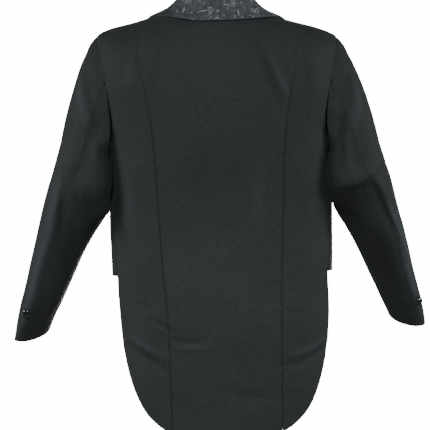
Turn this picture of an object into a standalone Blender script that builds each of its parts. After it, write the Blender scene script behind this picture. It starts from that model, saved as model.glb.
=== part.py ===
# A boy's black tailcoat jacket, filled out as on a wearer, with a brocade shawl collar.
# Sizes are in millimetres and become metres when a mesh is made. +Z is up, the coat faces
# -Y, and the origin lies midway between the shoulders, at the level of the neck's base.

import math
from collections import namedtuple

import bpy
import numpy as np
from mathutils import Vector
from mathutils.bvhtree import BVHTree

# Driving dimensions
CLOTH = 2.0  # thickness of every wall: suiting with its fusing and turnings
SEAM_GAP = 0.42  # between the edges of two pieces that are sewn together
LAY_GAP = 1.3  # between the collar's fall and the cloth it lies on
BODY_GAP = 1.2  # between a sleeve and the body that it hangs against
NECK_HEIGHT = 20.0
NECK_HALF_WIDTH = 58.0
SHOULDER_HEIGHT = -18.0
UNDERARM_HEIGHT = -166.0
FRONT_HEM_HEIGHT = -345.0  # at the side seam
FRONT_HEM_DROP = 10.0  # lower at the centre front than at the side
BREAK_HEIGHT = -250.0  # where the lapels start to roll
TAIL_CORNER_HEIGHT = -519.0  # where the tail's edge turns into its rounded hem
SIDE_SEAM_BACK = 2.0  # degrees behind the side, where the side seam starts
TAIL_BOTTOM = -577.0
PRINCESS_BOTTOM = -567.5
FOLD_RADIUS = 1.5  # of the collar's roll, at the middle of its wall
BUTTON_DIAMETER = 12.0
BUTTON_THICKNESS = 3.2
BUTTON_RISE = {"left": 30.0, "right": 28.5}  # from the cuff's edge up to the button
BUTTON_SEAT = 0.4  # from the sleeve's cloth to the button's back
BUTTON_SIDES = 20
CUFF_SHIFT = {"left": (5.0, -3.0), "right": (-5.0, 3.0)}  # outwards and up, as the arms hang
SLEEVE_LENGTH = 420.0  # along which its folds are placed
DEGREE_ON_BODY = 2.0  # width of a degree of turn on the back
DEGREE_ON_SLEEVE = 0.7

# Grid sizes
ARM_ROWS = 11  # from the shoulder point to the underarm
SIDE_ROWS = 8  # from the underarm to the front hem
TAIL_ROWS = 9
BREAK_ROWS = 15  # of the front's rows, from the neck to the break
BELOW_BREAK_ROWS = 4
ROW_EASE = 0.85  # how much closer the rows lie at the neck and shoulder than lower down
SIDE_COLUMNS = 6
SHOULDER_COLUMNS = 3  # from the neck point to the princess seam
NECK_BEND_ROWS = 6  # rows of the centre back that bend into its neck and shoulders
HEM_BEND_ROWS = 6  # rows of the tail that bend into its rounded hem
CAP_ROWS = 8
CAP_REACH = 0.8  # how far the sleeve's cap keeps the way that it leaves the armhole
ARM_RINGS = 17
HIND_COLUMN = 5  # the sleeve's column that the hind-arm seam follows
FORE_COLUMN = 14

# Horizontal sections of the body, from the neck down: depth behind and in front of the
# shoulder line, and how square the outline is (2 is an ellipse).
Section = namedtuple("Section", "height half_width back front square")
BODY = [
    Section(20.0, 58.0, 48.0, 40.0, 2.00),
    Section(14.0, 75.0, 52.0, 47.0, 1.80),
    Section(8.0, 95.0, 55.5, 51.0, 1.70),
    Section(-1.5, 128.0, 59.5, 55.0, 1.62),
    Section(-7.0, 147.0, 61.5, 57.5, 1.60),
    Section(-12.0, 158.5, 63.0, 59.5, 1.62),
    Section(-18.0, 168.0, 65.0, 61.5, 1.66),
    Section(-28.0, 170.8, 68.0, 64.5, 2.00),
    Section(-46.0, 171.2, 72.5, 68.5, 2.24),
    Section(-65.0, 171.0, 76.5, 72.5, 2.32),
    Section(-85.0, 169.5, 80.0, 76.0, 2.36),
    Section(-110.0, 165.5, 82.0, 79.0, 2.38),
    Section(-152.0, 158.0, 82.0, 81.0, 2.40),
    Section(-200.0, 156.0, 79.5, 80.0, 2.42),
    Section(-250.0, 156.5, 76.0, 77.5, 2.42),
    Section(-300.0, 156.0, 76.5, 76.5, 2.42),
    Section(-345.0, 155.0, 79.5, 76.0, 2.42),
    Section(-450.0, 152.0, 85.5, 75.0, 2.46),
    Section(-580.0, 147.0, 84.5, 74.0, 2.50),
]

# Half width between the two shoulder-to-hem seams of the back.
SeamPoint = namedtuple("SeamPoint", "height half_width")
PRINCESS = [
    SeamPoint(4.0, 112.0),
    SeamPoint(-54.0, 110.5),
    SeamPoint(-80.0, 104.5),
    SeamPoint(-120.0, 97.0),
    SeamPoint(-154.0, 92.0),
    SeamPoint(-192.0, 89.0),
    SeamPoint(-267.0, 86.0),
    SeamPoint(-328.0, 83.0),
    SeamPoint(-412.0, 78.5),
    SeamPoint(-490.0, 77.0),
    SeamPoint(-568.0, 76.0),
]

# The tail's free edge, from the front hem down and round to the princess seam.
TAIL_EDGE = [
    SeamPoint(-345.0, 146.5),
    SeamPoint(-386.0, 146.5),
    SeamPoint(-440.0, 143.0),
    SeamPoint(-468.0, 138.5),
    SeamPoint(-490.0, 133.0),
    SeamPoint(-508.0, 127.5),
    SeamPoint(-519.0, 123.0),
    SeamPoint(-530.0, 117.5),
    SeamPoint(-542.0, 109.0),
    SeamPoint(-552.0, 99.0),
    SeamPoint(-560.0, 89.0),
    SeamPoint(-567.5, 76.0),
]

# The front's inner edge: along the lapel's roll to the break, then down to the hem.
FRONT_EDGE = [
    SeamPoint(20.0, 58.0),
    SeamPoint(10.0, 58.5),
    SeamPoint(0.0, 58.0),
    SeamPoint(-22.0, 55.0),
    SeamPoint(-60.0, 49.0),
    SeamPoint(-112.0, 41.5),
    SeamPoint(-170.0, 33.5),
    SeamPoint(-218.0, 27.0),
    SeamPoint(-250.0, 23.5),
    SeamPoint(-300.0, 23.0),
    SeamPoint(-356.0, 27.0),
]

# Half width of the armhole's edge, on the back and on the front of the body. It ends at
# the side seam.
ArmholePoint = namedtuple("ArmholePoint", "height back front")
ARMHOLE = [
    ArmholePoint(-18.0, 168.0, 168.0),
    ArmholePoint(-21.0, 168.0, 167.8),
    ArmholePoint(-30.0, 167.0, 165.5),
    ArmholePoint(-46.0, 163.6, 159.0),
    ArmholePoint(-65.0, 160.2, 152.0),
    ArmholePoint(-85.0, 156.4, 146.5),
    ArmholePoint(-104.0, 152.8, 143.8),
    ArmholePoint(-125.0, 149.8, 143.0),
    ArmholePoint(-143.0, 148.6, 145.5),
    ArmholePoint(-155.0, 150.0, 150.5),
    ArmholePoint(-163.0, 153.4, 155.6),
]

# The shawl collar, by stations round one half: 0 is the centre back, NECK_STATION the neck
# point and the last one the break. The fall's outer edge lies on the body at the given
# half width and height.
CollarStation = namedtuple("CollarStation", "station stand lift sag edge_x edge_z")
NECK_STATION = 3
NECK_COLUMNS = 5  # of the centre back, from its middle to the neck point
COLLAR = [
    CollarStation(0, 25.0, 30.0, 0.0, 0.0, 2.0),
    CollarStation(1, 24.0, 31.0, 1.0, 33.0, 2.8),
    CollarStation(2, 20.0, 36.0, 2.5, 66.0, 5.6),
    CollarStation(3, 13.5, 45.0, 4.5, 92.0, 9.0),
    CollarStation(4, 12.0, 47.0, 4.5, 97.0, 4.5),
    CollarStation(5, 10.5, 44.0, 3.5, 99.5, -3.0),
    CollarStation(6, 9.0, 38.0, 2.5, 101.0, -12.0),
    CollarStation(7, 7.0, 30.0, 1.0, 102.0, -23.0),
    CollarStation(8, 5.0, 21.0, 0.0, 102.0, -36.0),
    CollarStation(9, 3.0, 12.0, 0.0, 101.5, -52.0),
    CollarStation(10, 1.8, 5.0, 0.0, 99.5, -70.0),
    CollarStation(11, 1.0, 0.0, 0.0, 96.5, -90.0),
    CollarStation(12, 1.0, 0.0, 0.0, 92.0, -112.0),
    CollarStation(13, 1.0, 0.0, 0.0, 85.0, -136.0),
    CollarStation(14, 1.0, 0.0, 0.0, 75.5, -161.0),
    CollarStation(15, 1.0, 0.0, 0.0, 63.5, -187.0),
    CollarStation(16, 1.0, 0.0, 0.0, 51.0, -211.0),
    CollarStation(17, 1.0, 0.0, 0.0, 40.0, -233.0),
    CollarStation(18, 1.0, 0.0, 0.0, 32.0, -253.0),
]

# The sleeve's oval sections down the arm: its centre, its half width across and half depth
# from front to back, how far it is turned outwards, and the degrees round it of the seams.
ArmSection = namedtuple("ArmSection", "x y z across deep turn hind fore")
ARM = [
    ArmSection(186.0, 2.0, -178.0, 39.5, 43.0, 0.0, 84.0, 229.0),
    ArmSection(190.5, 5.0, -203.0, 40.5, 43.0, 0.0, 78.0, 229.0),
    ArmSection(196.0, 5.5, -229.0, 41.5, 43.0, 2.0, 72.0, 230.0),
    ArmSection(205.5, -4.0, -258.0, 39.5, 43.0, 5.0, 66.0, 231.0),
    ArmSection(221.0, -20.5, -297.0, 33.5, 42.0, 9.0, 60.0, 232.0),
    ArmSection(237.0, -41.0, -343.0, 27.5, 40.5, 13.0, 54.0, 234.0),
    ArmSection(253.5, -60.5, -388.0, 22.0, 39.5, 17.0, 50.0, 235.0),
    ArmSection(264.5, -74.0, -420.0, 18.5, 39.0, 20.0, 48.0, 235.0),
]

# Soft folds that the worn cloth holds. On the body a fold runs between two places given
# by degrees from the centre back and height. On a sleeve it runs between two places given
# by the share of the way down the arm and degrees round it. Height is out of the surface.
BodyFold = namedtuple("BodyFold", "start_turn start_z end_turn end_z height width")
BODY_FOLDS = [
    BodyFold(-22.0, -40.0, -36.0, -135.0, -2.2, 14.0),
    BodyFold(26.0, -55.0, 10.0, -130.0, -1.8, 16.0),
    BodyFold(-46.0, -30.0, -48.0, -120.0, 1.6, 16.0),
    BodyFold(72.0, -215.0, 62.0, -330.0, -2.2, 15.0),
    BodyFold(-70.0, -225.0, -62.0, -320.0, -1.8, 15.0),
    BodyFold(58.0, -436.0, 33.0, -474.0, -2.4, 13.0),
    BodyFold(34.0, -444.0, 8.0, -448.0, -2.2, 12.0),
    BodyFold(-60.0, -438.0, -34.0, -470.0, -2.2, 13.0),
    BodyFold(14.0, -300.0, -6.0, -420.0, 1.5, 26.0),
]
SleeveFold = namedtuple("SleeveFold", "start_along start_turn end_along end_turn height width")
SLEEVE_FOLDS = {
    "left": [
        SleeveFold(0.06, 88.0, 0.22, 68.0, 2.4, 8.0),
        SleeveFold(0.10, 108.0, 0.26, 92.0, -2.4, 8.0),
        SleeveFold(0.40, 128.0, 0.47, 62.0, -3.2, 9.0),
        SleeveFold(0.47, 118.0, 0.54, 60.0, 2.4, 9.0),
        SleeveFold(0.40, -110.0, 0.46, -20.0, -3.6, 8.0),
        SleeveFold(0.50, -130.0, 0.54, -40.0, -3.2, 8.0),
        SleeveFold(0.62, 110.0, 0.70, 60.0, -2.0, 10.0),
    ],
    "right": [
        SleeveFold(0.02, 72.0, 0.14, 84.0, -2.2, 8.0),
        SleeveFold(0.16, 60.0, 0.36, 96.0, -3.0, 9.0),
        SleeveFold(0.14, 40.0, 0.32, 66.0, 2.2, 9.0),
        SleeveFold(0.43, 134.0, 0.41, 62.0, -3.2, 9.0),
        SleeveFold(0.50, 126.0, 0.50, 58.0, 2.4, 9.0),
        SleeveFold(0.40, -110.0, 0.46, -20.0, -3.6, 8.0),
        SleeveFold(0.50, -130.0, 0.54, -40.0, -3.2, 8.0),
    ],
}


def column(table, name):
    return np.array([getattr(row, name) for row in table], dtype=float)


def smooth(at, places, values):
    """A smooth curve through the table's values that never overshoots them."""
    order = np.argsort(places)
    places, values = places[order], values[order]
    steps = np.diff(places)
    slopes = np.diff(values) / steps
    tangents = np.zeros_like(values)
    tangents[0], tangents[-1] = slopes[0], slopes[-1]
    same_way = slopes[:-1] * slopes[1:] > 0
    inner = np.zeros(len(values) - 2)
    inner[same_way] = 2 / (1 / slopes[:-1][same_way] + 1 / slopes[1:][same_way])
    tangents[1:-1] = inner
    at = np.clip(np.asarray(at, dtype=float), places[0], places[-1])
    cell = np.clip(np.searchsorted(places, at, side="right") - 1, 0, len(steps) - 1)
    width = steps[cell]
    t = (at - places[cell]) / width
    return (
        values[cell] * (2 * t**3 - 3 * t**2 + 1)
        + tangents[cell] * width * (t**3 - 2 * t**2 + t)
        + values[cell + 1] * (3 * t**2 - 2 * t**3)
        + tangents[cell + 1] * width * (t**3 - t**2)
    )


def body_size(name, z):
    return smooth(z, column(BODY, "height"), column(BODY, name))


def ridge_height(x):
    """Height of the shoulder line at a half width."""
    return smooth(x, column(BODY, "half_width")[:7], column(BODY, "height")[:7])


def turn_at(x, z):
    """Angle from the centre back, on the back of the body, of a half width x."""
    share = np.clip(np.abs(x) / body_size("half_width", z), 0, 1)
    return np.arcsin(share ** (body_size("square", z) / 2)) * np.sign(x)


def unit(vectors):
    return vectors / np.linalg.norm(vectors, axis=-1, keepdims=True)


def body_surface(turn, z):
    power = 2 / body_size("square", z)
    across, along = np.sin(turn), np.cos(turn)
    depth = np.where(along > 0, body_size("back", z), body_size("front", z))
    x = body_size("half_width", z) * np.sign(across) * np.abs(across) ** power
    y = depth * np.sign(along) * np.abs(along) ** power
    return np.stack([x, y, z + 0 * x], axis=-1)


def body_normal(turn, z):
    step_turn, step_z = 0.03, 0.6
    round_body = body_surface(turn + step_turn, z) - body_surface(turn - step_turn, z)
    down = body_surface(turn, z - step_z) - body_surface(turn, z + step_z)
    return unit(np.cross(round_body, down))


def distance_to_run(x, y, start, end):
    """Distance from points to a straight run on a flat map, and the share along it."""
    run = np.subtract(end, start)
    share = ((x - start[0]) * run[0] + (y - start[1]) * run[1]) / (run @ run)
    inside = np.clip(share, 0, 1)
    across = np.hypot(x - start[0] - inside * run[0], y - start[1] - inside * run[1])
    return across, inside


def fold_profile(across, share, width):
    """A soft rounded bulge that is fullest in the middle of its run."""
    return np.exp(-((across / width) ** 2)) * (0.35 + 0.65 * np.sin(np.pi * share))


def body_fold_height(turn, z):
    total = np.zeros(np.broadcast(turn, z).shape)
    for fold in BODY_FOLDS:
        across, share = distance_to_run(
            np.degrees(turn) * DEGREE_ON_BODY,
            z,
            (fold.start_turn * DEGREE_ON_BODY, fold.start_z),
            (fold.end_turn * DEGREE_ON_BODY, fold.end_z),
        )
        total = total + fold.height * fold_profile(across, share, fold.width)
    return total


def body_grid(turn, z):
    """The outer face and its outward directions at a grid of places on the body."""
    directions = body_normal(turn, z)
    height = body_fold_height(turn, z)
    return body_surface(turn, z) + height[..., None] * directions, directions


def drawn_in(points, gap):
    """The grid with each edge drawn in by half of a seam's gap, square to the edge."""
    moved = points.copy()
    for swap in (False, True):
        grid = np.swapaxes(points, 0, 1) if swap else points
        target = np.swapaxes(moved, 0, 1) if swap else moved
        for edge, neighbour in ((0, 1), (-1, -2)):
            inwards = grid[neighbour] - grid[edge]
            tangent = unit(np.gradient(grid[edge], axis=0))
            inwards = inwards - (inwards * tangent).sum(-1, keepdims=True) * tangent
            target[edge] += unit(inwards) * gap / 2
    return moved


def material(name, hex_colour, roughness):
    made = bpy.data.materials.new(name)
    made.use_nodes = True
    shader = made.node_tree.nodes["Principled BSDF"]
    channels = [int(hex_colour[i : i + 2], 16) / 255 for i in (1, 3, 5)]
    linear = [c / 12.92 if c <= 0.04045 else ((c + 0.055) / 1.055) ** 2.4 for c in channels]
    shader.inputs["Base Color"].default_value = (*linear, 1)
    shader.inputs["Roughness"].default_value = roughness
    shader.inputs["Metallic"].default_value = 0
    return made


def add_object(name, points, faces, look):
    mesh = bpy.data.meshes.new(name)
    mesh.from_pydata([tuple(p * 0.001) for p in points], [], faces)
    mesh.validate()
    mesh.shade_smooth()
    mesh.set_sharp_from_angle(angle=math.radians(50))
    made = bpy.data.objects.new(name, mesh)
    made.data.materials.append(material(name, *look))
    bpy.context.scene.collection.objects.link(made)
    return made


def cloth_wall(name, outer, directions, look):
    """A closed wall between a grid of outer points and the same points moved inwards."""
    facing = np.cross(np.gradient(outer, axis=0), np.gradient(outer, axis=1))
    if (facing * directions).sum() < 0:
        outer, directions = outer[:, ::-1], directions[:, ::-1]
    rows, columns = outer.shape[:2]
    inner = outer - directions * CLOTH
    points = np.concatenate([outer.reshape(-1, 3), inner.reshape(-1, 3)])

    def at(row, col, face):
        return face * rows * columns + row * columns + col

    faces = []
    for row in range(rows - 1):
        for col in range(columns - 1):
            corners = ((row, col), (row + 1, col), (row + 1, col + 1), (row, col + 1))
            faces.append([at(*c, 0) for c in corners])
            faces.append([at(*c, 1) for c in reversed(corners)])
    rim = [(row, 0) for row in range(rows)]
    rim += [(rows - 1, col) for col in range(1, columns)]
    rim += [(row, columns - 1) for row in range(rows - 2, -1, -1)]
    rim += [(0, col) for col in range(columns - 2, 0, -1)]
    for here, there in zip(rim, rim[1:] + rim[:1]):
        faces.append([at(*here, 0), at(*here, 1), at(*there, 1), at(*there, 0)])
    return add_object(name, points, faces, look)


def rows_down(start, end, count, ease):
    """Heights from start to end that lie closest together at the start."""
    t = np.arange(count + 1) / count
    return start + (end - start) * (ease * t**2 + (1 - ease) * t)


def stacked(*runs):
    """Runs of heights joined end to end, each starting where the one before it ended."""
    return np.concatenate([runs[0], *(run[1:] for run in runs[1:])])


# Heights that the rows of a back line pass: its top, the underarm, the front hem, its bottom
BackLine = namedtuple("BackLine", "top underarm front_hem bottom")
PRINCESS_TOP = float(ridge_height(np.array(PRINCESS[0].half_width)))
CENTRE_LINE = BackLine(NECK_HEIGHT, -145.0, -350.0, TAIL_BOTTOM)
PRINCESS_LINE = BackLine(PRINCESS_TOP, -152.0, -349.0, PRINCESS_BOTTOM)


def back_rows(line):
    return stacked(
        rows_down(line.top, line.underarm, ARM_ROWS, ROW_EASE),
        rows_down(line.underarm, line.front_hem, SIDE_ROWS, 0.0),
        rows_down(line.front_hem, line.bottom, TAIL_ROWS, 0.0),
    )


CENTRE_HEIGHTS = back_rows(CENTRE_LINE)
PRINCESS_HEIGHTS = back_rows(PRINCESS_LINE)
# The armhole's rows follow a cosine, so that they match the sleeve's columns
ARMHOLE_HEIGHTS = (SHOULDER_HEIGHT + UNDERARM_HEIGHT) / 2 + (
    (SHOULDER_HEIGHT - UNDERARM_HEIGHT) / 2
) * np.cos(np.pi * np.arange(ARM_ROWS + 1) / ARM_ROWS)
SIDE_HEIGHTS = rows_down(UNDERARM_HEIGHT, FRONT_HEM_HEIGHT, SIDE_ROWS, 0.0)
OUTER_HEIGHTS = stacked(
    ARMHOLE_HEIGHTS,
    SIDE_HEIGHTS,
    rows_down(FRONT_HEM_HEIGHT, TAIL_CORNER_HEIGHT, TAIL_ROWS, 0.0),
)
FRONT_HEIGHTS = stacked(
    rows_down(NECK_HEIGHT, BREAK_HEIGHT, BREAK_ROWS, ROW_EASE),
    rows_down(BREAK_HEIGHT, FRONT_HEM_HEIGHT - FRONT_HEM_DROP, BELOW_BREAK_ROWS, 0.0),
)


def armhole_turns(face):
    """Angles of the armhole's rows on the back or the front, down to the side seam."""
    z = ARMHOLE_HEIGHTS[:-1]
    turn = turn_at(smooth(z, column(ARMHOLE, "height"), column(ARMHOLE, face)), z)
    if face == "front":
        turn = np.pi - turn
    return np.append(turn, math.radians(90 - SIDE_SEAM_BACK))


def side_seam_turn(z):
    """The side seam drifts backwards, until it meets the tail's edge at the front hem."""
    start = math.radians(90 - SIDE_SEAM_BACK)
    end = turn_at(np.array(TAIL_EDGE[0].half_width), np.array(FRONT_HEM_HEIGHT))
    share = (z - UNDERARM_HEIGHT) / (FRONT_HEM_HEIGHT - UNDERARM_HEIGHT)
    return start + (end - start) * share


def outer_turns():
    """Angles of the back's outer edge: armhole, side seam, then the tail's free edge."""
    tail = OUTER_HEIGHTS[ARM_ROWS + SIDE_ROWS :]
    tail_x = smooth(tail, column(TAIL_EDGE, "height"), column(TAIL_EDGE, "half_width"))
    return stacked(
        armhole_turns("back"),
        side_seam_turn(SIDE_HEIGHTS),
        turn_at(tail_x, tail),
    )


def princess_x(z):
    return smooth(z, column(PRINCESS, "height"), column(PRINCESS, "half_width"))


def neck_shares():
    """The centre back's columns: to the neck point, and on to the princess seam."""
    neck = NECK_HALF_WIDTH / PRINCESS[0].half_width
    shoulder = np.linspace(neck, 1, SHOULDER_COLUMNS + 1)
    half = stacked(np.linspace(0, neck, NECK_COLUMNS + 1), shoulder)
    return np.concatenate([-half[:0:-1], half])


def back_centre():
    share = neck_shares()
    z = CENTRE_HEIGHTS[:, None] + (PRINCESS_HEIGHTS - CENTRE_HEIGHTS)[:, None] * share**2
    top_x = np.abs(share) * PRINCESS[0].half_width
    top = np.where(top_x <= NECK_HALF_WIDTH, NECK_HEIGHT, ridge_height(top_x))
    fade = np.clip(1 - np.arange(len(z)) / NECK_BEND_ROWS, 0, 1)[:, None] ** 2
    z = z + (top - z[0]) * fade
    x = princess_x(PRINCESS_HEIGHTS)[:, None] * share
    return turn_at(x, z), z


def back_side():
    """Angles and heights of the wearer's left side back."""
    share = np.linspace(0, 1, SIDE_COLUMNS + 1)
    inner_turn = turn_at(princess_x(PRINCESS_HEIGHTS), PRINCESS_HEIGHTS)[:, None]
    turn = inner_turn + (outer_turns()[:, None] - inner_turn) * share
    z = PRINCESS_HEIGHTS[:, None] + (OUTER_HEIGHTS - PRINCESS_HEIGHTS)[:, None] * share
    # The last rows bend into the rounded hem
    hem = [point for point in TAIL_EDGE if point.height <= TAIL_CORNER_HEIGHT]
    hem_x = np.linspace(princess_x(PRINCESS_BOTTOM), hem[0].half_width, len(share))
    hem_z = smooth(hem_x, column(hem, "half_width"), column(hem, "height"))
    hem_turn = turn_at(hem_x, hem_z)
    fade = np.clip(1 - np.arange(len(z))[::-1] / HEM_BEND_ROWS, 0, 1)[:, None] ** 2
    return turn + (hem_turn - turn[-1]) * fade, z + (hem_z - z[-1]) * fade


def front_columns():
    """Shares across the front that meet the back's columns at the shoulder seam."""
    shoulder = neck_shares()[-SHOULDER_COLUMNS - 1 :]
    centre_z = ridge_height(shoulder * PRINCESS[0].half_width)
    side_z = np.linspace(SHOULDER_HEIGHT, PRINCESS_TOP, SIDE_COLUMNS + 1)
    heights = np.concatenate([side_z, centre_z[-2::-1]])
    return (heights - SHOULDER_HEIGHT) / (NECK_HEIGHT - SHOULDER_HEIGHT)


def front():
    """Angles and heights of the wearer's left front, from the side to its inner edge."""
    outer_z = stacked(ARMHOLE_HEIGHTS, SIDE_HEIGHTS)
    outer_turn = stacked(armhole_turns("front"), side_seam_turn(SIDE_HEIGHTS))
    edge_x = smooth(FRONT_HEIGHTS, column(FRONT_EDGE, "height"), column(FRONT_EDGE, "half_width"))
    edge_turn = np.pi - turn_at(edge_x, FRONT_HEIGHTS)
    share = front_columns()
    turn = outer_turn[:, None] + (edge_turn - outer_turn)[:, None] * share
    z = outer_z[:, None] + (FRONT_HEIGHTS - outer_z)[:, None] * share
    return turn, z


def body_panel(name, turn, z, look):
    outer, directions = body_grid(turn, z)
    return cloth_wall(name, drawn_in(outer, SEAM_GAP), directions, look)


SUITING = ("#2B2F30", 0.9)
BROCADE = ("#5A5E62", 0.45)
BUTTON = ("#15181A", 0.15)


def make_body():
    turn, z = back_centre()
    panels = [body_panel("back_centre", turn, z, SUITING)]
    turn, z = back_side()
    panels.append(body_panel("back_side_left", turn, z, SUITING))
    panels.append(body_panel("back_side_right", -turn, z, SUITING))
    turn, z = front()
    panels.append(body_panel("front_left", turn, z, SUITING))
    panels.append(body_panel("front_right", -turn, z, SUITING))
    return panels


def body_tree():
    """The whole outline of the body, with no armholes or front opening."""
    z = np.concatenate([np.linspace(20, -20, 21), np.linspace(-28, -580, 70)])
    turn = np.linspace(0, 2 * np.pi, 145)[:-1]
    points = body_grid(turn[None, :] + 0 * z[:, None], z[:, None] + 0 * turn[None, :])[0]
    count = len(turn)
    faces = []
    for row in range(len(z) - 1):
        for col in range(count):
            here, there = row * count + col, row * count + (col + 1) % count
            faces.append([here, there, there + count, here + count])
    return BVHTree.FromPolygons([Vector(p) for p in points.reshape(-1, 3)], faces)


def cleared(point, tree, gap):
    """The point, moved out where it lies closer to the body than the gap."""
    spot, normal, _, _ = tree.find_nearest(Vector(point))
    away = (Vector(point) - spot).dot(normal)
    if away >= gap:
        return point
    return np.array(spot + normal * gap)


def grid_normals(points, closed):
    """Outward directions of a grid whose columns run round a tube or across a band."""
    if closed:
        round_way = np.roll(points, -1, axis=1) - np.roll(points, 1, axis=1)
    else:
        round_way = np.gradient(points, axis=1)
    return unit(np.cross(np.gradient(points, axis=0), round_way))


def arm_section(share, name):
    places = np.linspace(0, 1, len(ARM))
    return smooth(share, places, column(ARM, name))


def arm_centre(share, side_name):
    spread, rise = CUFF_SHIFT[side_name]
    fade = np.clip((share - 0.3) / 0.7, 0, 1)
    x = arm_section(share, "x") + spread * fade
    return np.stack([x, arm_section(share, "y"), arm_section(share, "z") + rise * fade], axis=-1)


def column_angles(share):
    """Degrees round the arm of the sleeve's columns, spread between its two seams."""
    hind, fore = arm_section(share, "hind"), arm_section(share, "fore")
    count = 2 * ARM_ROWS
    under = np.arange(HIND_COLUMN, FORE_COLUMN)
    over = np.arange(FORE_COLUMN, HIND_COLUMN + count)
    angles = np.zeros(count)
    angles[under] = hind + (fore - hind) * (under - HIND_COLUMN) / (FORE_COLUMN - HIND_COLUMN)
    over_share = (over - FORE_COLUMN) / (HIND_COLUMN + count - FORE_COLUMN)
    angles[over % count] = fore + (hind + 360 - fore) * over_share
    return np.radians(angles)


def arm_ring(share, side_name):
    """A ring of points round the wearer's left sleeve, before it is mirrored."""
    step = 0.02
    centre = arm_centre(share, side_name)
    ahead, behind = min(share + step, 1.0), max(share - step, 0.0)
    down = unit(arm_centre(ahead, side_name) - arm_centre(behind, side_name))
    across = unit(np.cross(down, np.array([0.0, 1.0, 0.0])))
    if across[0] < 0:
        across = -across
    back = unit(np.cross(across, down))
    if back[1] < 0:
        back = -back
    turn = math.radians(float(arm_section(share, "turn")))
    wide = across * math.cos(turn) - back * math.sin(turn)
    deep = back * math.cos(turn) + across * math.sin(turn)
    angles = column_angles(share)[:, None]
    half_across = float(arm_section(share, "across"))
    half_deep = float(arm_section(share, "deep"))
    return centre + half_across * np.cos(angles) * wide + half_deep * np.sin(angles) * deep, down


def armhole_ring():
    """The armhole's points on the body, from the shoulder point back and round."""
    turn = np.concatenate([armhole_turns("back"), armhole_turns("front")[-2:0:-1]])
    z = np.concatenate([ARMHOLE_HEIGHTS, ARMHOLE_HEIGHTS[-2:0:-1]])
    return body_grid(turn, z)


def cap_rib(start, start_way, end, end_way, count):
    """A curve from the armhole to the first ring of the arm, leaving out its end."""
    reach = np.linalg.norm(end - start) * CAP_REACH
    t = (np.arange(count) / count)[:, None]
    return (
        start * (2 * t**3 - 3 * t**2 + 1)
        + start_way * reach * (t**3 - 2 * t**2 + t)
        + end * (3 * t**2 - 2 * t**3)
        + end_way * reach * (t**3 - t**2)
    )


def sleeve_grid(side_name, tree):
    """Rows of points down the wearer's left sleeve, from the armhole to the cuff."""
    hole, hole_way = armhole_ring()
    first, down = arm_ring(0.0, side_name)
    low = ((1 - np.cos(2 * np.pi * np.arange(len(hole)) / len(hole))) / 2)[:, None]
    outwards = np.array([1.0, 0.0, 0.0])
    # The cap leaves the shoulder outwards, and the underarm straight down the arm
    leave = unit(
        outwards * (0.85 - 0.70 * low) + down * (0.80 + 1.9 * low**2) + hole_way * 0.30 * low
    )
    # The sleeve starts past the body's edge, or outside it where it folds back under the arm
    tangent = unit(np.roll(hole, -1, axis=0) - np.roll(hole, 1, axis=0))
    past = np.cross(tangent, hole_way)
    onwards = np.clip((leave * past).sum(-1, keepdims=True), 0, 1)
    start = hole + past * onwards * SEAM_GAP + hole_way * (1 - onwards) * BODY_GAP
    ribs = [
        cap_rib(start[i], leave[i], first[i], down, CAP_ROWS) for i in range(len(hole))
    ]
    cap = np.stack(ribs, axis=1)
    shares = np.linspace(0, 1, ARM_RINGS)
    rings = np.stack([arm_ring(share, side_name)[0] for share in shares])
    points = np.concatenate([cap, rings])
    for row in range(1, len(points)):
        for col in range(points.shape[1]):
            points[row, col] = cleared(points[row, col], tree, BODY_GAP)
    return points


def sleeve_fold_height(side_name, rows, columns, angles):
    """Fold heights over the sleeve's grid, from its own table of folds."""
    along = np.linspace(0, 1, rows)[:, None] + np.zeros((rows, columns))
    turn = (np.degrees(angles) + 180) % 360 - 180
    total = np.zeros((rows, columns))
    for fold in SLEEVE_FOLDS[side_name]:
        across, share = distance_to_run(
            along * SLEEVE_LENGTH,
            turn * DEGREE_ON_SLEEVE,
            (fold.start_along * SLEEVE_LENGTH, fold.start_turn * DEGREE_ON_SLEEVE),
            (fold.end_along * SLEEVE_LENGTH, fold.end_turn * DEGREE_ON_SLEEVE),
        )
        total += fold.height * fold_profile(across, share, fold.width)
    # The seam at the armhole and the cuff's edge stay smooth
    return total * np.clip(along * 12, 0, 1) * np.clip((1 - along) * 12, 0, 1)


def sleeve_pieces(side_name, tree):
    points = sleeve_grid(side_name, tree)
    rows, columns = points.shape[:2]
    shares = np.concatenate([np.zeros(CAP_ROWS), np.linspace(0, 1, ARM_RINGS)])
    angles = np.stack([column_angles(share) for share in shares])
    directions = grid_normals(points, closed=True)
    height = sleeve_fold_height(side_name, rows, columns, angles)
    points = points + directions * height[..., None]
    for row in range(1, rows):
        for col in range(columns):
            points[row, col] = cleared(points[row, col], tree, BODY_GAP)
    directions = grid_normals(points, closed=True)
    if side_name == "right":
        points = points * np.array([-1.0, 1.0, 1.0])
        directions = directions * np.array([-1.0, 1.0, 1.0])
    under = np.arange(HIND_COLUMN, FORE_COLUMN + 1)
    over = np.arange(FORE_COLUMN, HIND_COLUMN + columns + 1) % columns
    for piece, chosen in (("under_sleeve", under), ("top_sleeve", over)):
        outer = drawn_in(points[:, chosen], SEAM_GAP)
        cloth_wall(f"{piece}_{side_name}", outer, directions[:, chosen], SUITING)
    return points[:, HIND_COLUMN - 1], directions[:, HIND_COLUMN - 1]


# The button's outline from its back to its crown, in diameters out and thicknesses up
BUTTON_PROFILE = [
    (0.34, 0.0),
    (0.40, 0.25),
    (0.47, 0.30),
    (0.5, 0.55),
    (0.47, 0.82),
    (0.36, 0.92),
    (0.20, 1.0),
]


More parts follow.
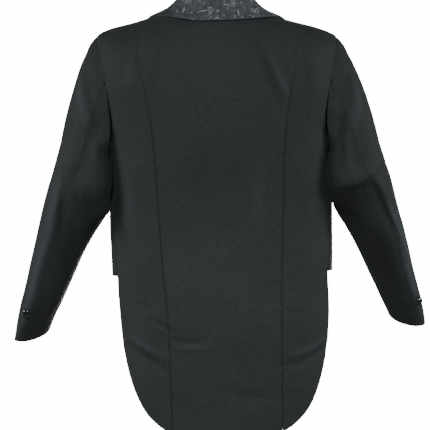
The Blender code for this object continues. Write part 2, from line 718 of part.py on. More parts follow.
def make_button(side_name, run, ways):
    """A domed button on the top sleeve's last column, a set way up from the cuff."""
    lengths = np.linalg.norm(np.diff(run[::-1], axis=0), axis=1).cumsum()
    before = int(np.searchsorted(lengths, BUTTON_RISE[side_name]))
    share = (BUTTON_RISE[side_name] - lengths[before - 1]) / (lengths[before] - lengths[before - 1])
    low, high = len(run) - 1 - before, len(run) - 2 - before
    way = Vector(unit(ways[low] * (1 - share) + ways[high] * share))
    seat = Vector(run[low] * (1 - share) + run[high] * share) + way * BUTTON_SEAT
    upright = way.to_track_quat("Z", "Y")
    vertices = []
    for radius, height in BUTTON_PROFILE:
        for i in range(BUTTON_SIDES):
            angle = 2 * math.pi * i / BUTTON_SIDES
            across = Vector((math.cos(angle), math.sin(angle), 0)) * radius * BUTTON_DIAMETER
            vertices.append(seat + upright @ (across + Vector((0, 0, height * BUTTON_THICKNESS))))
    vertices.append(seat)
    vertices.append(seat + way * BUTTON_THICKNESS)
    back, crown = len(vertices) - 2, len(vertices) - 1
    last = (len(BUTTON_PROFILE) - 1) * BUTTON_SIDES
    faces = []
    for i in range(BUTTON_SIDES):
        beside = (i + 1) % BUTTON_SIDES
        faces.append([back, beside, i])
        faces.append([crown, last + i, last + beside])
        for ring in range(len(BUTTON_PROFILE) - 1):
            near, far = ring * BUTTON_SIDES, (ring + 1) * BUTTON_SIDES
            faces.append([near + i, near + beside, far + beside, far + i])
    return add_object(f"cuff_button_{side_name}", [np.array(v) for v in vertices], faces, BUTTON)


def collar_value(station, name):
    return float(smooth(station, column(COLLAR, "station"), column(COLLAR, name)))


def collar_seats():
    """The collar's seam points on one half, as angles and heights on the body."""
    x = np.linspace(0, NECK_HALF_WIDTH, NECK_COLUMNS + 1)
    back_z = np.full(len(x), NECK_HEIGHT)
    front_z = FRONT_HEIGHTS[1 : BREAK_ROWS + 1]
    edge_x = smooth(front_z, column(FRONT_EDGE, "height"), column(FRONT_EDGE, "half_width"))
    turn = np.concatenate([turn_at(x, back_z), np.pi - turn_at(edge_x, front_z)])
    return turn, np.concatenate([back_z, front_z])


def collar_section(seat, normal, along, station, tree):
    """The collar's wall at one station, at the middle of its thickness: stand, roll, fall."""
    up_body = unit(np.cross(along, normal))
    lift = math.radians(collar_value(station, "lift"))
    up = up_body * math.cos(lift) + normal * math.sin(lift)
    out = normal * math.cos(lift) - up_body * math.sin(lift)
    start = seat - normal * CLOTH / 2 + up_body * (SEAM_GAP + math.sin(lift) * CLOTH / 2)
    stand = collar_value(station, "stand")
    heart = start + up * stand + out * FOLD_RADIUS
    section = [start + up * stand * t for t in (0.0, 0.5)]
    for degrees in (0, 45, 90, 135, 180):
        angle = math.radians(degrees)
        section.append(heart + FOLD_RADIUS * (up * math.sin(angle) - out * math.cos(angle)))
    x, z = collar_value(station, "edge_x"), collar_value(station, "edge_z")
    if station == NECK_STATION:
        z = float(ridge_height(x))
    turn = float(turn_at(np.array(x), np.array(z)))
    if station > NECK_STATION:
        turn = math.pi - turn
    edge, edge_normal = body_grid(np.array(turn), np.array(z))
    edge = edge + edge_normal * (LAY_GAP + CLOTH / 2)
    begin = section[-1]
    # The fall sinks between the roll and the shoulder that it lies on
    sag = np.array([0.0, 0.0, collar_value(station, "sag")])
    for t in (0.15, 0.35, 0.55, 0.78, 1.0):
        # This curve is 1 at its fullest, a third of the way down the fall
        curve = 6.75 * t * (1 - t) ** 2
        point = begin + (edge - begin) * t - sag * curve
        section.append(cleared(point, tree, LAY_GAP + CLOTH / 2))
    return section


def make_collar(tree):
    turn, z = collar_seats()
    seats, normals = body_grid(turn, z)
    # Directions along the seam, from the centre back to the break
    mirrored = seats[1:2] * np.array([-1.0, 1.0, 1.0])
    along = np.gradient(np.concatenate([mirrored, seats]), axis=0)[1:]
    stations = stacked(
        np.linspace(0, NECK_STATION, NECK_COLUMNS + 1),
        np.arange(NECK_STATION, NECK_STATION + BREAK_ROWS + 1),
    )
    half = np.array(
        [
            collar_section(seat, normal, unit(way), station, tree)
            for seat, normal, way, station in zip(seats, normals, along, stations)
        ]
    )
    other = half[:0:-1] * np.array([-1.0, 1.0, 1.0])
    middle = np.concatenate([other, half])
    directions = grid_normals(middle, closed=False)
    outer = middle + directions * CLOTH / 2
    return cloth_wall("shawl_collar", outer, directions, BROCADE)


def main():
    for old in list(bpy.data.objects):
        bpy.data.objects.remove(old)
    make_body()
    tree = body_tree()
    make_collar(tree)
    for side_name in ("left", "right"):
        run, ways = sleeve_pieces(side_name, tree)
        make_button(side_name, run, ways)


main()
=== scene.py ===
# A boy's black tailcoat jacket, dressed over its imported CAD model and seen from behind.
# Tables are in millimetres unless they say otherwise. x is towards the wearer's left,
# z is up, and the coat faces -Y.

import math

import bmesh
import bpy
import numpy as np
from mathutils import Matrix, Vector, noise


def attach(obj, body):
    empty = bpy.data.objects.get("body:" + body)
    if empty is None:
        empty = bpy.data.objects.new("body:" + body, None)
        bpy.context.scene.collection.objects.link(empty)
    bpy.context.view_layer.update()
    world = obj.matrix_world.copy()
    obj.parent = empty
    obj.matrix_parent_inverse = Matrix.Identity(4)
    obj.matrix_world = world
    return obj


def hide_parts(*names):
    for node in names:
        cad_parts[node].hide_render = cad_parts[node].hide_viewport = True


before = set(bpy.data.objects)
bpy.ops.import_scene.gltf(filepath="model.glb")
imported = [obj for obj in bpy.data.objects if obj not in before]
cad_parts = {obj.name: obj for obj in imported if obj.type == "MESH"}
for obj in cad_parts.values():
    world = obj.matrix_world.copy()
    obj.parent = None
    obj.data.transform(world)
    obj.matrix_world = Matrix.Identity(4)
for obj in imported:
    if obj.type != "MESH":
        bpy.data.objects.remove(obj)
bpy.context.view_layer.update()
print("frame loaded")


def toLinear(hexColour):
    channels = [int(hexColour[i : i + 2], 16) / 255 for i in (1, 3, 5)]
    return [c / 12.92 if c <= 0.04045 else ((c + 0.055) / 1.055) ** 2.4 for c in channels] + [1]


def addNode(tree, kind, inputs=None, **settings):
    node = tree.nodes.new(kind)
    for name, value in settings.items():
        setattr(node, name, value)
    for key, value in (inputs or {}).items():
        if isinstance(value, bpy.types.Node):
            value = value.outputs[0]
        if isinstance(value, bpy.types.NodeSocket):
            tree.links.new(value, node.inputs[key])
        else:
            node.inputs[key].default_value = value
    return node


def newMaterial(name):
    material = bpy.data.materials.new(name)
    material.use_nodes = True
    tree = material.node_tree
    return material, tree, tree.nodes["Principled BSDF"]


def pickOnly(piece):
    bpy.ops.object.select_all(action="DESELECT")
    piece.select_set(True)
    bpy.context.view_layer.objects.active = piece


def smoothStep(value, low, high):
    t = np.clip((value - low) / (high - low), 0, 1)
    return t * t * (3 - 2 * t)


def vertexPlaces(piece):
    places = np.empty(len(piece.data.vertices) * 3)
    piece.data.vertices.foreach_get("co", places)
    return places.reshape(-1, 3) * 1000


def moveVertices(piece, places):
    piece.data.vertices.foreach_set("co", (places / 1000).ravel())
    piece.data.update()


# The photo spans 602 mm of the coat and is turned by a degree and a half. Lengths here are
# in metres, and the sensor in millimetres.
backView = {
    "distance": 5.0,
    "x": 0.0084,
    "z": -0.2658,
    "span": 0.602,
    "roll": 0.025,
    "sensor": 36,
    "clipEnd": 60,
}

bpy.ops.object.camera_add(
    location=(backView["x"], backView["distance"], backView["z"]),
    rotation=(math.radians(90), backView["roll"], math.radians(180)),
)
camera = bpy.context.object
camera.name = "back_view_camera"
camera.data.sensor_width = backView["sensor"]
camera.data.lens = backView["sensor"] * backView["distance"] / backView["span"]
camera.data.clip_end = backView["clipEnd"]
bpy.context.scene.camera = camera


# How each CAD wall becomes cloth, in metres. The fronts' shoulder seams stand further apart
# than the others, so they close further.
shell = {
    "rimRounding": 0.00045,
    "sharpAngle": math.radians(58),
    "closing": {"body": 0.00025, "sleeve": 0.00023, "collar": 0.0002},
    "shoulderHeight": -0.05,
    "shoulderClosing": 0.00055,
    "fine": 3,  # levels of subdivision
    "plain": 2,
}


def closeSeams(piece, distance, atShoulder):
    # The rim's faces have two opposite sharp edges; they move out, and the seams close
    mesh = bmesh.new()
    mesh.from_mesh(piece.data)
    moves = {}
    for face in mesh.faces:
        if len(face.edges) != 4:
            continue
        sharp = [
            len(edge.link_faces) == 2 and edge.calc_face_angle(0) > shell["sharpAngle"]
            for edge in face.edges
        ]
        if (sharp[0] and sharp[2]) or (sharp[1] and sharp[3]):
            for corner in face.verts:
                moves[corner] = moves.get(corner, Vector()) + face.normal
    for corner, way in moves.items():
        if way.length > 0.1:  # opposite faces cancel out
            further = atShoulder if corner.co.z > shell["shoulderHeight"] else 0
            corner.co += way.normalized() * (distance + further)
    mesh.to_mesh(piece.data)
    mesh.free()


def makeShell(nodeName, pieceName, seamClosing, levels):
    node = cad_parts[nodeName]
    piece = node.copy()
    piece.data = node.data.copy()
    piece.name = pieceName
    bpy.context.scene.collection.objects.link(piece)
    pickOnly(piece)
    if piece.data.has_custom_normals:
        bpy.ops.mesh.customdata_custom_splitnormals_clear()
    bpy.ops.object.mode_set(mode="EDIT")
    bpy.ops.mesh.select_all(action="SELECT")
    bpy.ops.mesh.remove_doubles(threshold=0.00001)
    bpy.ops.mesh.tris_convert_to_quads(
        face_threshold=math.radians(45), shape_threshold=math.radians(75), topology_influence=1.5
    )
    bpy.ops.mesh.normals_make_consistent(inside=False)
    bpy.ops.object.mode_set(mode="OBJECT")
    atShoulder = shell["shoulderClosing"] if nodeName.startswith("front") else 0
    closeSeams(piece, seamClosing, atShoulder)
    bpy.ops.object.mode_set(mode="EDIT")
    bpy.ops.mesh.select_mode(type="EDGE")
    bpy.ops.mesh.select_all(action="DESELECT")
    bpy.ops.mesh.edges_select_sharp(sharpness=shell["sharpAngle"])
    bpy.ops.mesh.bevel(offset=shell["rimRounding"], segments=1, affect="EDGES")
    bpy.ops.object.mode_set(mode="OBJECT")
    # The wall's narrow faces, between two bevels, are marked for the shade along the seams
    bevelled = np.empty(len(piece.data.vertices), dtype=bool)
    piece.data.vertices.foreach_get("select", bevelled)
    rim = np.zeros(len(bevelled), dtype=np.float32)
    for face in piece.data.polygons:
        if not face.select and bevelled[list(face.vertices)].all():
            rim[list(face.vertices)] = 1
    piece.data.attributes.new("rim", "FLOAT", "POINT").data.foreach_set("value", rim)
    bpy.ops.object.modifier_add(type="SUBSURF")
    piece.modifiers[-1].levels = levels
    piece.modifiers[-1].render_levels = levels
    bpy.ops.object.modifier_apply(modifier=piece.modifiers[-1].name)
    bpy.ops.object.shade_smooth()
    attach(piece, "root")
    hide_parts(nodeName)
    return piece


# Each fold runs through places (x, z) as seen from behind or in front. Height is out of the cloth,
# and width is how far it spreads to each side. The same heights paint the cloth too: painted shade
# in the troughs and painted sheen on the ridges.
bodyFolds = {
    "back": [
        # between the neck and the right shoulder blade
        {"line": [(-54, -24), (-66, -56), (-76, -92), (-87, -124)], "height": -2.6, "width": 6},
        {"line": [(-72, -44), (-88, -84), (-99, -112)], "height": 1.3, "width": 6},
        {"line": [(-36, -60), (-42, -96)], "height": -0.9, "width": 9},
        # left shoulder blade
        {"line": [(80, -44), (87, -72), (96, -104)], "height": -1.6, "width": 6},
        {"line": [(118, -50), (126, -90)], "height": 0.9, "width": 8},
        {"line": [(-118, -58), (-126, -76), (-122, -96)], "height": -1.3, "width": 5},
        # waist, at the sides
        {"line": [(146, -210), (143, -262), (134, -326)], "height": -2.6, "width": 7},
        {"line": [(126, -226), (124, -270)], "height": 0.9, "width": 8},
        {"line": [(-142, -205), (-138, -270), (-131, -318)], "height": -1.5, "width": 7},
        {"line": [(-60, -196), (-50, -240), (-57, -296)], "height": 0.8, "width": 12},
        {"line": [(28, -176), (20, -250)], "height": -0.7, "width": 13},
        # where the sleeves rest on it: narrow troughs whose painted shade stands for the sleeves'
        # shadow on the body
        {"line": [(152, -160), (148, -188), (151, -226), (155, -258)],
         "height": -3.0, "width": 3.0},
        {"line": [(-151, -162), (-152, -193), (-156, -222), (-160, -251)],
         "height": -3.0, "width": 3.0},
        # the tail's drag lines
        {"line": [(103, -407), (89, -416), (72, -426)], "height": -1.5, "width": 3.6},
        {"line": [(74, -437), (53, -441), (30, -443)], "height": -1.3, "width": 3.0},
        {"line": [(72, -446), (50, -449), (22, -448)], "height": 1.0, "width": 4},
        {"line": [(133, -442), (104, -464), (74, -485)], "height": -1.6, "width": 5},
        {"line": [(134, -430), (112, -446), (86, -460)], "height": 1.3, "width": 5},
        {"line": [(118, -384), (102, -392)], "height": -1.0, "width": 4},
        {"line": [(-70, -476), (-101, -473), (-143, -451)], "height": -1.4, "width": 4.4},
        {"line": [(-86, -461), (-112, -457), (-142, -438)], "height": 1.2, "width": 5},
        {"line": [(-80, -398), (-96, -404), (-110, -402)], "height": -1.0, "width": 4},
        {"line": [(10, -504), (-28, -516), (-68, -520)], "height": -0.9, "width": 8},
        {"line": [(62, -520), (46, -540)], "height": -0.7, "width": 7},
    ],
    "front": [
        # from the lapels' break towards the side seams
        {"line": [(40, -262), (84, -294), (128, -322)], "height": -2.0, "width": 6},
        {"line": [(-38, -258), (-76, -284), (-118, -300)], "height": -2.3, "width": 5.5},
        {"line": [(-42, -282), (-80, -316), (-104, -334)], "height": 1.2, "width": 7},
        {"line": [(112, -120), (124, -164), (119, -206)], "height": -1.6, "width": 6},
        {"line": [(-114, -128), (-122, -180), (-113, -214)], "height": -1.8, "width": 6},
    ],
}

# The pressed hind-arm seam from the elbow to the cuff, then folds at the sleeve's head
# and elbow. Each side has its own, as in the picture.
sleeveFolds = {
    "left": {
        "back": [
            {"line": [(219, -214), (226, -242), (232, -275), (243, -309), (255, -342),
                      (264, -376), (271, -394), (286, -428)],
             "height": 3.0, "width": 5, "leftWidth": 9},
            {"line": [(196, -72), (192, -104), (184, -138)], "height": 1.5, "width": 8},
            {"line": [(189, -62), (181, -98), (170, -136)], "height": -2.0, "width": 6},
            {"line": [(206, -112), (207, -142), (214, -170)], "height": -0.9, "width": 7},
            {"line": [(180, -150), (190, -186), (206, -212)], "height": -1.1, "width": 8},
            {"line": [(172, -160), (174, -200)], "height": 1.0, "width": 6},
            {"line": [(211, -216), (217, -245), (220, -275), (226, -306)],
             "height": -2.3, "width": 9, "leftWidth": 4},
            {"line": [(208, -218), (192, -228), (170, -242)],
             "height": -1.2, "width": 7, "leftWidth": 24},
            {"line": [(199, -276), (208, -302), (218, -330)], "height": -0.9, "width": 9},
            {"line": [(216, -308), (234, -350), (252, -398)], "height": 1.2, "width": 13},
            {"line": [(192, -262), (200, -284)], "height": 1.0, "width": 6},
            {"line": [(196, -300), (206, -312)], "height": 1.0, "width": 4},
        ],
        "front": [
            {"line": [(176, -226), (204, -236), (232, -230)], "height": -2.6, "width": 4.5},
            {"line": [(186, -262), (214, -264), (240, -252)], "height": -2.2, "width": 4},
            {"line": [(182, -244), (212, -250), (236, -242)], "height": 1.9, "width": 4.5},
            {"line": [(196, -284), (224, -280), (242, -268)], "height": -1.3, "width": 4},
            {"line": [(170, -96), (182, -124), (181, -152)], "height": -2.2, "width": 5},
        ],
    },
    "right": {
        "back": [
            {"line": [(-215, -222), (-222, -237), (-235, -271), (-244, -290), (-251, -321),
                      (-258, -355), (-264, -376), (-280, -420)],
             "height": 3.2, "width": 9, "leftWidth": 4},
            {"line": [(-190, -58), (-183, -84), (-176, -104)], "height": -1.4, "width": 5},
            {"line": [(-197, -86), (-194, -122), (-186, -158)], "height": 1.5, "width": 7},
            {"line": [(-182, -108), (-174, -136), (-169, -162), (-167, -200)],
             "height": -2.8, "width": 5.5},
            {"line": [(-206, -158), (-200, -184), (-190, -206)], "height": -0.9, "width": 6},
            {"line": [(-178, -178), (-182, -206)], "height": 1.0, "width": 5},
            # the elbow: the upper arm's cloth ends in a step over the forearm, which this deep
            # trough, wide below its line, makes darker with painted shade
            {"line": [(-160, -236), (-186, -234), (-201, -228), (-209, -219)],
             "height": -4.8, "width": 2.6, "leftWidth": 40},
            {"line": [(-209, -224), (-222, -250), (-234, -288)],
             "height": -2.2, "width": 4, "leftWidth": 10},
            {"line": [(-212, -296), (-224, -330), (-240, -374)], "height": -1.9, "width": 12},
            {"line": [(-172, -262), (-186, -274), (-196, -288)], "height": -1.2, "width": 5},
            {"line": [(-190, -262), (-204, -276), (-212, -296)], "height": 0.9, "width": 6},
        ],
        "front": [
            {"line": [(-178, -222), (-206, -232), (-230, -224)], "height": -2.3, "width": 4.5},
            {"line": [(-188, -254), (-212, -260), (-236, -250)], "height": -2.6, "width": 4},
            {"line": [(-184, -238), (-208, -246), (-232, -238)], "height": 1.8, "width": 4.5},
            {"line": [(-200, -280), (-226, -276), (-238, -266)], "height": -1.1, "width": 4.5},
            {"line": [(-172, -104), (-184, -134), (-179, -158)], "height": -1.9, "width": 5},
        ],
    },
}

# Folds of the collar are few: it is fused, and only its ends relax
collarFolds = {
    "back": [
        # the wearer's left end: the painted shade in this trough darkens that end
        {"line": [(90, 38), (76, 22), (68, 6)], "height": -2.6, "width": 18},
        {"line": [(-74, 26), (-82, 14)], "height": -0.6, "width": 6},
    ],
    "front": [
        {"line": [(78, -30), (90, -62)], "height": -0.8, "width": 8},
        {"line": [(-82, -44), (-90, -74)], "height": -0.7, "width": 7},
    ],
}

# The armhole, where folds die out so that its seam stays closed
armholeLine = [(168, -18), (164, -46), (156, -85), (150, -125), (149, -143), (153, -166)]

# Cloth is never quite flat: it has slow waves and fine ones. Behind and in front they are
# read further apart than the cloth is, so that the two sides differ.
unevenness = {
    "wave": 38.0,
    "height": 0.55,
    "fineWave": 12.0,
    "fineHeight": 0.12,
    "apart": 20,
}

# The body is about an oval in plan, and its cloth is unrolled at the oval's mean radius
bodyOval = {"halfWidth": 160, "halfDepth": 78, "radius": 118, "shoulderLift": 0.02}
facingDepth = 40  # so far from the middle, cloth is wholly back or front

# How dark the turned edges are along the seams, from 0 to 1
rimShades = {"shoulder": 0.2, "back": 1.0, "sleeve": 0.3, "collar": 0.0}

# The shoulder-to-hem seams of the back pucker a little, where the cloth was eased in
princessLine = [(112, 4), (110, -54), (97, -120), (89, -192), (86, -267), (80, -390), (76, -568)]
pucker = {"height": 0.4, "wave": 6.0, "reach": 7.0}

# The worn coat hangs unevenly: its left shoulder sits higher, its tail swings a little to
# the right, and the sleeves are drawn in at the cap, pressed in against the body under the
# arm and behind its side, and wider down the forearm
hang = {
    "leftRise": 4.6,
    "leftTipRise": 2.4,
    "rightDrop": 1.4,
    "tailSwing": -1.8,
    "sleeveShift": {"left": 2.4, "right": 0.8},
    "sleeveSpread": {"left": 3.0, "right": 3.0},
    "capDrawIn": 4.5,
    "capEase": 0.6,
    "pressIn": 6.5,
    "pressGrowth": 0.5,
    "forkIn": {"left": 4.5, "right": 2.5},
    "underarmIn": 5.0,
    "cuffCorner": {"left": 6.0, "right": 5.0},
    "cuffSlant": {"left": 0.24, "right": 0.2},
    "cuffMiddle": 258,
    "squareness": 12.0,
}

# How far below the neck's base each change of the sleeves starts and is full, and then,
# where it stops before the cuff, fades and ends
sleeveZones = {
    "cap": (20, 46, 110, 160),
    "capEase": (72, 125),
    "flat": (130, 165, 232, 262),
    "underarm": (138, 152, 168, 192),
    "lower": (150, 235),
    "press": {"left": (172, 208, 257, 277), "right": (172, 208, 250, 270)},
    "pressGrowth": (235, 270),
    "fork": (238, 256, 258, 290),
    "hem": (385, 425),
}


def between(value, start, full, fade, end):
    return smoothStep(value, start, full) * (1 - smoothStep(value, fade, end))


def shoulderShift(places):
    x, z = places[:, 0], places[:, 2]
    rise = hang["leftRise"] * smoothStep(x, 15, 75) + hang["leftTipRise"] * smoothStep(x, 115, 165)
    rise -= hang["rightDrop"] * smoothStep(-x, 60, 110)
    shift = np.zeros_like(places)
    shift[:, 2] = rise * smoothStep(z, -140, -35)
    return shift


def bodyShift(places):
    shift = shoulderShift(places)
    shift[:, 0] += hang["tailSwing"] * smoothStep(-places[:, 2], 335, 420)
    return shift


def sleeveShift(places, outwards, side):
    x, y, z = places.T
    away = 1 if side == "left" else -1
    outer = outwards[:, 0] * away
    shift = shoulderShift(places)
    lower = smoothStep(-z, *sleeveZones["lower"])
    spread = hang["sleeveSpread"][side] * outwards[:, 0] * lower
    cap = hang["capDrawIn"] * between(-z, *sleeveZones["cap"])
    cap *= 1 - hang["capEase"] * smoothStep(-z, *sleeveZones["capEase"])
    cap = cap * np.clip(outer, 0, 1)
    # Behind the body's side the sleeve rests against it, and nothing shows between them
    press = between(y, 8, 24, 36, 56) * smoothStep(-outer, 0.2, 0.7)
    press *= hang["pressIn"] * between(-z, *sleeveZones["press"][side])
    press *= 1 + hang["pressGrowth"] * smoothStep(-z, *sleeveZones["pressGrowth"])
    # Where they part, the sleeve still leans in
    fork = between(-z, *sleeveZones["fork"]) * smoothStep(-outer, 0.2, 0.8)
    press += hang["forkIn"][side] * fork
    # In front it is pressed to the body under the arm, and cuts into the body's wall there
    underarm = between(-z, *sleeveZones["underarm"])
    underarm *= smoothStep(-y, -4, 14) * smoothStep(-outer, 0.1, 0.5)
    press += hang["underarmIn"] * underarm
    shift[:, 0] += spread + away * (hang["sleeveShift"][side] * lower - cap - press)
    # The hem slants down to a pressed corner on the outer side
    corner = hang["cuffCorner"][side] * smoothStep(outer, 0.35, 1.0)
    corner += hang["cuffSlant"][side] * (np.abs(x) - hang["cuffMiddle"])
    shift[:, 2] -= corner * smoothStep(-z, *sleeveZones["hem"])
    # The upper arm hangs flat behind, right up to the edge that lies on the body
    flat = np.clip(-outer, 0, 1) * np.clip(outwards[:, 1], 0, 1)
    shift[:, 1] += hang["squareness"] * flat * between(-z, *sleeveZones["flat"])
    return shift


def distanceToLine(x, z, line):
    nearest = np.full(x.shape, 1e9)
    share = np.zeros(x.shape)
    onLeft = np.zeros(x.shape, dtype=bool)
    lengths = [math.dist(a, b) for a, b in zip(line, line[1:])]
    passed = 0.0
    for (x0, z0), (x1, z1), length in zip(line, line[1:], lengths):
        t = np.clip(((x - x0) * (x1 - x0) + (z - z0) * (z1 - z0)) / length**2, 0, 1)
        gap = np.hypot(x - x0 - t * (x1 - x0), z - z0 - t * (z1 - z0))
        closer = gap < nearest
        nearest = np.where(closer, gap, nearest)
        share = np.where(closer, (passed + t * length) / sum(lengths), share)
        onLeft = np.where(closer, (x - x0) * (z1 - z0) < (z - z0) * (x1 - x0), onLeft)
        passed += length
    return nearest, share, onLeft


def foldHeights(places, facing, folds):
    # facing is 1 towards the back and -1 towards the front
    x, z = places[:, 0], places[:, 2]
    total = np.zeros(len(places))
    for side, sign in (("back", 1), ("front", -1)):
        seen = smoothStep(sign * facing, -0.05, 0.3)
        for fold in folds[side]:
            gap, share, onLeft = distanceToLine(x, z, fold["line"])
            # Some fall steeply on one side, and give the left side of their line its own width
            width = np.where(onLeft, fold.get("leftWidth", fold["width"]), fold["width"])
            profile = np.exp(-((gap / width) ** 2))
            total += seen * fold["height"] * profile * (0.4 + 0.6 * np.sin(math.pi * share))
    return total


def clothUnevenness(places, outwards):
    heights = np.empty(len(places))
    for i, (place, way) in enumerate(zip(places, outwards)):
        spot = Vector((place[0], place[1] + unevenness["apart"] * way[1], place[2]))
        heights[i] = unevenness["height"] * noise.noise(spot / unevenness["wave"])
        heights[i] += unevenness["fineHeight"] * noise.noise(spot / unevenness["fineWave"])
    return heights


def storeCloth(piece, uvMillimetres, relief, rimShade):
    # Real lengths on the cloth for its weave, the folds' height for its lint, painted sheen and
    # painted shade, and how dark its seams are
    mesh = piece.data
    while mesh.uv_layers:
        mesh.uv_layers.remove(mesh.uv_layers[0])
    layer = mesh.uv_layers.new(name="cloth")
    corners = np.empty(len(mesh.loops), dtype=np.int32)
    mesh.loops.foreach_get("vertex_index", corners)
    layer.data.foreach_set("uv", (uvMillimetres[corners] / 1000).astype(np.float32).ravel())
    attribute = mesh.attributes.new("relief", "FLOAT", "POINT")
    attribute.data.foreach_set("value", relief.astype(np.float32))
    rim = np.empty(len(relief), dtype=np.float32)
    mesh.attributes["rim"].data.foreach_get("value", rim)
    mesh.attributes["rim"].data.foreach_set("value", (rim * rimShade).astype(np.float32))


def foldBody(piece, folds):
    places = vertexPlaces(piece)
    x, y, z = places.T
    halfWidth, halfDepth = bodyOval["halfWidth"], bodyOval["halfDepth"]
    outwards = np.stack([x / halfWidth**2, y / halfDepth**2, 0 * x], axis=1)
    # Over the shoulders the cloth faces up
    outwards[:, 2] = bodyOval["shoulderLift"] * smoothStep(z, -60, 0)
    outwards /= np.linalg.norm(outwards, axis=1, keepdims=True)
    facing = y / facingDepth
    relief = foldHeights(places, facing, folds)
    armhole, _, _ = distanceToLine(np.abs(x), z, armholeLine)
    relief *= smoothStep(armhole, 2, 16) * (1 - smoothStep(z, -24, -6))
    heights = relief + clothUnevenness(places, outwards) * smoothStep(armhole, 0, 14)
    seam, _, _ = distanceToLine(np.abs(x), z, princessLine)
    ease = np.array([noise.noise((0, 0, height / pucker["wave"])) for height in z])
    ease *= pucker["height"] * np.exp(-seam / pucker["reach"]) * smoothStep(facing, 0, 0.4)
    heights += ease * (1 - smoothStep(z, -40, -10))
    moveVertices(piece, places + outwards * heights[:, None] + bodyShift(places))
    turn = np.arctan2(x / halfWidth, y / halfDepth)
    # The shoulder-to-hem seams hardly show above the shoulder blades
    darker = rimShades["back"] - rimShades["shoulder"]
    rimShade = rimShades["shoulder"] + darker * smoothStep(-z, 60, 110)
    storeCloth(piece, np.stack([turn * bodyOval["radius"], z], axis=1), relief, rimShade)


# Middle line of the wearer's left sleeve, and how far each cuff hangs out and up
armLine = [
    (128, 0, -96),
    (166, 1, -140),
    (186, 2, -178),
    (190.5, 5, -203),
    (196, 5.5, -229),
    (205.5, -4, -258),
    (221, -20.5, -297),
    (237, -41, -343),
    (253.5, -60.5, -388),
    (264.5, -74, -420),
    (276, -88, -454),
]
# The cuffs' shift grows from this far below the neck's base, over this length
cuffShift = {"left": (5, -3), "right": (-5, 3), "start": 170, "length": 250}
sleeveRadius = 38  # where a sleeve's cloth is unrolled


def armPlaces(places, side):
    # The outward direction, the length down the sleeve and the turn round it
    mirror = 1 if side == "left" else -1
    line = np.array(armLine, dtype=float)
    share = np.clip((-cuffShift["start"] - line[:, 2]) / cuffShift["length"], 0, 1)
    line[:, 0] += cuffShift[side][0] * share
    line[:, 2] += cuffShift[side][1] * share
    line[:, 0] *= mirror
    tangents = np.gradient(line, axis=0)
    tangents /= np.linalg.norm(tangents, axis=1, keepdims=True)
    lengths = np.concatenate([[0], np.linalg.norm(np.diff(line, axis=0), axis=1).cumsum()])
    nearest = np.full(len(places), 1e9)
    spot = np.zeros_like(places)
    way = np.zeros_like(places)
    passed = np.zeros(len(places))
    for i in range(len(line) - 1):
        run = line[i + 1] - line[i]
        t = np.clip((places - line[i]) @ run / (run @ run), 0, 1)
        here = line[i] + t[:, None] * run
        gap = np.linalg.norm(places - here, axis=1)
        closer = gap < nearest
        nearest[closer] = gap[closer]
        spot[closer] = here[closer]
        way[closer] = (tangents[i] + t[:, None] * (tangents[i + 1] - tangents[i]))[closer]
        passed[closer] = (lengths[i] + t * (lengths[i + 1] - lengths[i]))[closer]
    outwards = (places - spot) / nearest[:, None]
    wide = np.cross(way, np.array([0.0, 1.0, 0.0])) * -mirror
    wide /= np.linalg.norm(wide, axis=1, keepdims=True)
    deep = np.cross(wide, way) * mirror
    deep *= np.sign(deep[:, 1:2])
    turn = np.arctan2((outwards * deep).sum(1), (outwards * wide).sum(1))
    return outwards, passed, turn


def foldSleeve(piece, side, cutTurn):
    places = vertexPlaces(piece)
    outwards, passed, turn = armPlaces(places, side)
    relief = foldHeights(places, outwards[:, 1], sleeveFolds[side])
    armhole, _, _ = distanceToLine(np.abs(places[:, 0]), places[:, 2], armholeLine)
    seamFade = smoothStep(armhole, 1, 14) * smoothStep(places[:, 2], -424, -404)
    # Nothing swells where the sleeve hangs against the body
    inwards = smoothStep(-outwards[:, 0] * np.sign(places[:, 0]), 0.35, 0.8)
    inwards *= smoothStep(places[:, 2], -262, -232)
    relief *= seamFade * (1 - inwards)
    heights = relief + clothUnevenness(places, outwards) * seamFade * (1 - inwards)
    shift = sleeveShift(places, outwards, side)
    moveVertices(piece, places + outwards * heights[:, None] + shift)
    turn = (turn - cutTurn) % (2 * math.pi)
    unrolled = np.stack([turn * sleeveRadius, -passed], axis=1)
    storeCloth(piece, unrolled, relief, rimShades["sleeve"])


# The collar's roll, from the centre back round the wearer's left side to the break
rollLine = [
    (0, 53.5, 46.2),
    (12.5, 52.6, 45.7),
    (24.7, 48.5, 44.9),
    (36.1, 41, 42.6),
    (45.5, 30.3, 38.8),
    (55.7, -2.4, 34.7),
    (53, -25.9, 28),
    (52.8, -38.8, 19.4),
    (51.9, -48, 8.6),
    (49.7, -58.8, -16.5),
    (47.2, -68.1, -48.1),
    (42.2, -75.5, -86.4),
    (35.7, -80, -132.7),
    (28.2, -80.4, -187.1),
    (20.6, -77.8, -249.7),
]
collarRise = 25  # how much its cloth faces up


def roundCorners(line, times):
    points = np.array(line, dtype=float)
    for _ in range(times):
        nearer = points[:-1] * 0.75 + points[1:] * 0.25
        further = points[:-1] * 0.25 + points[1:] * 0.75
        cutCorners = np.stack([nearer, further], axis=1).reshape(-1, 3)
        points = np.vstack([points[:1], cutCorners, points[-1:]])
    return points


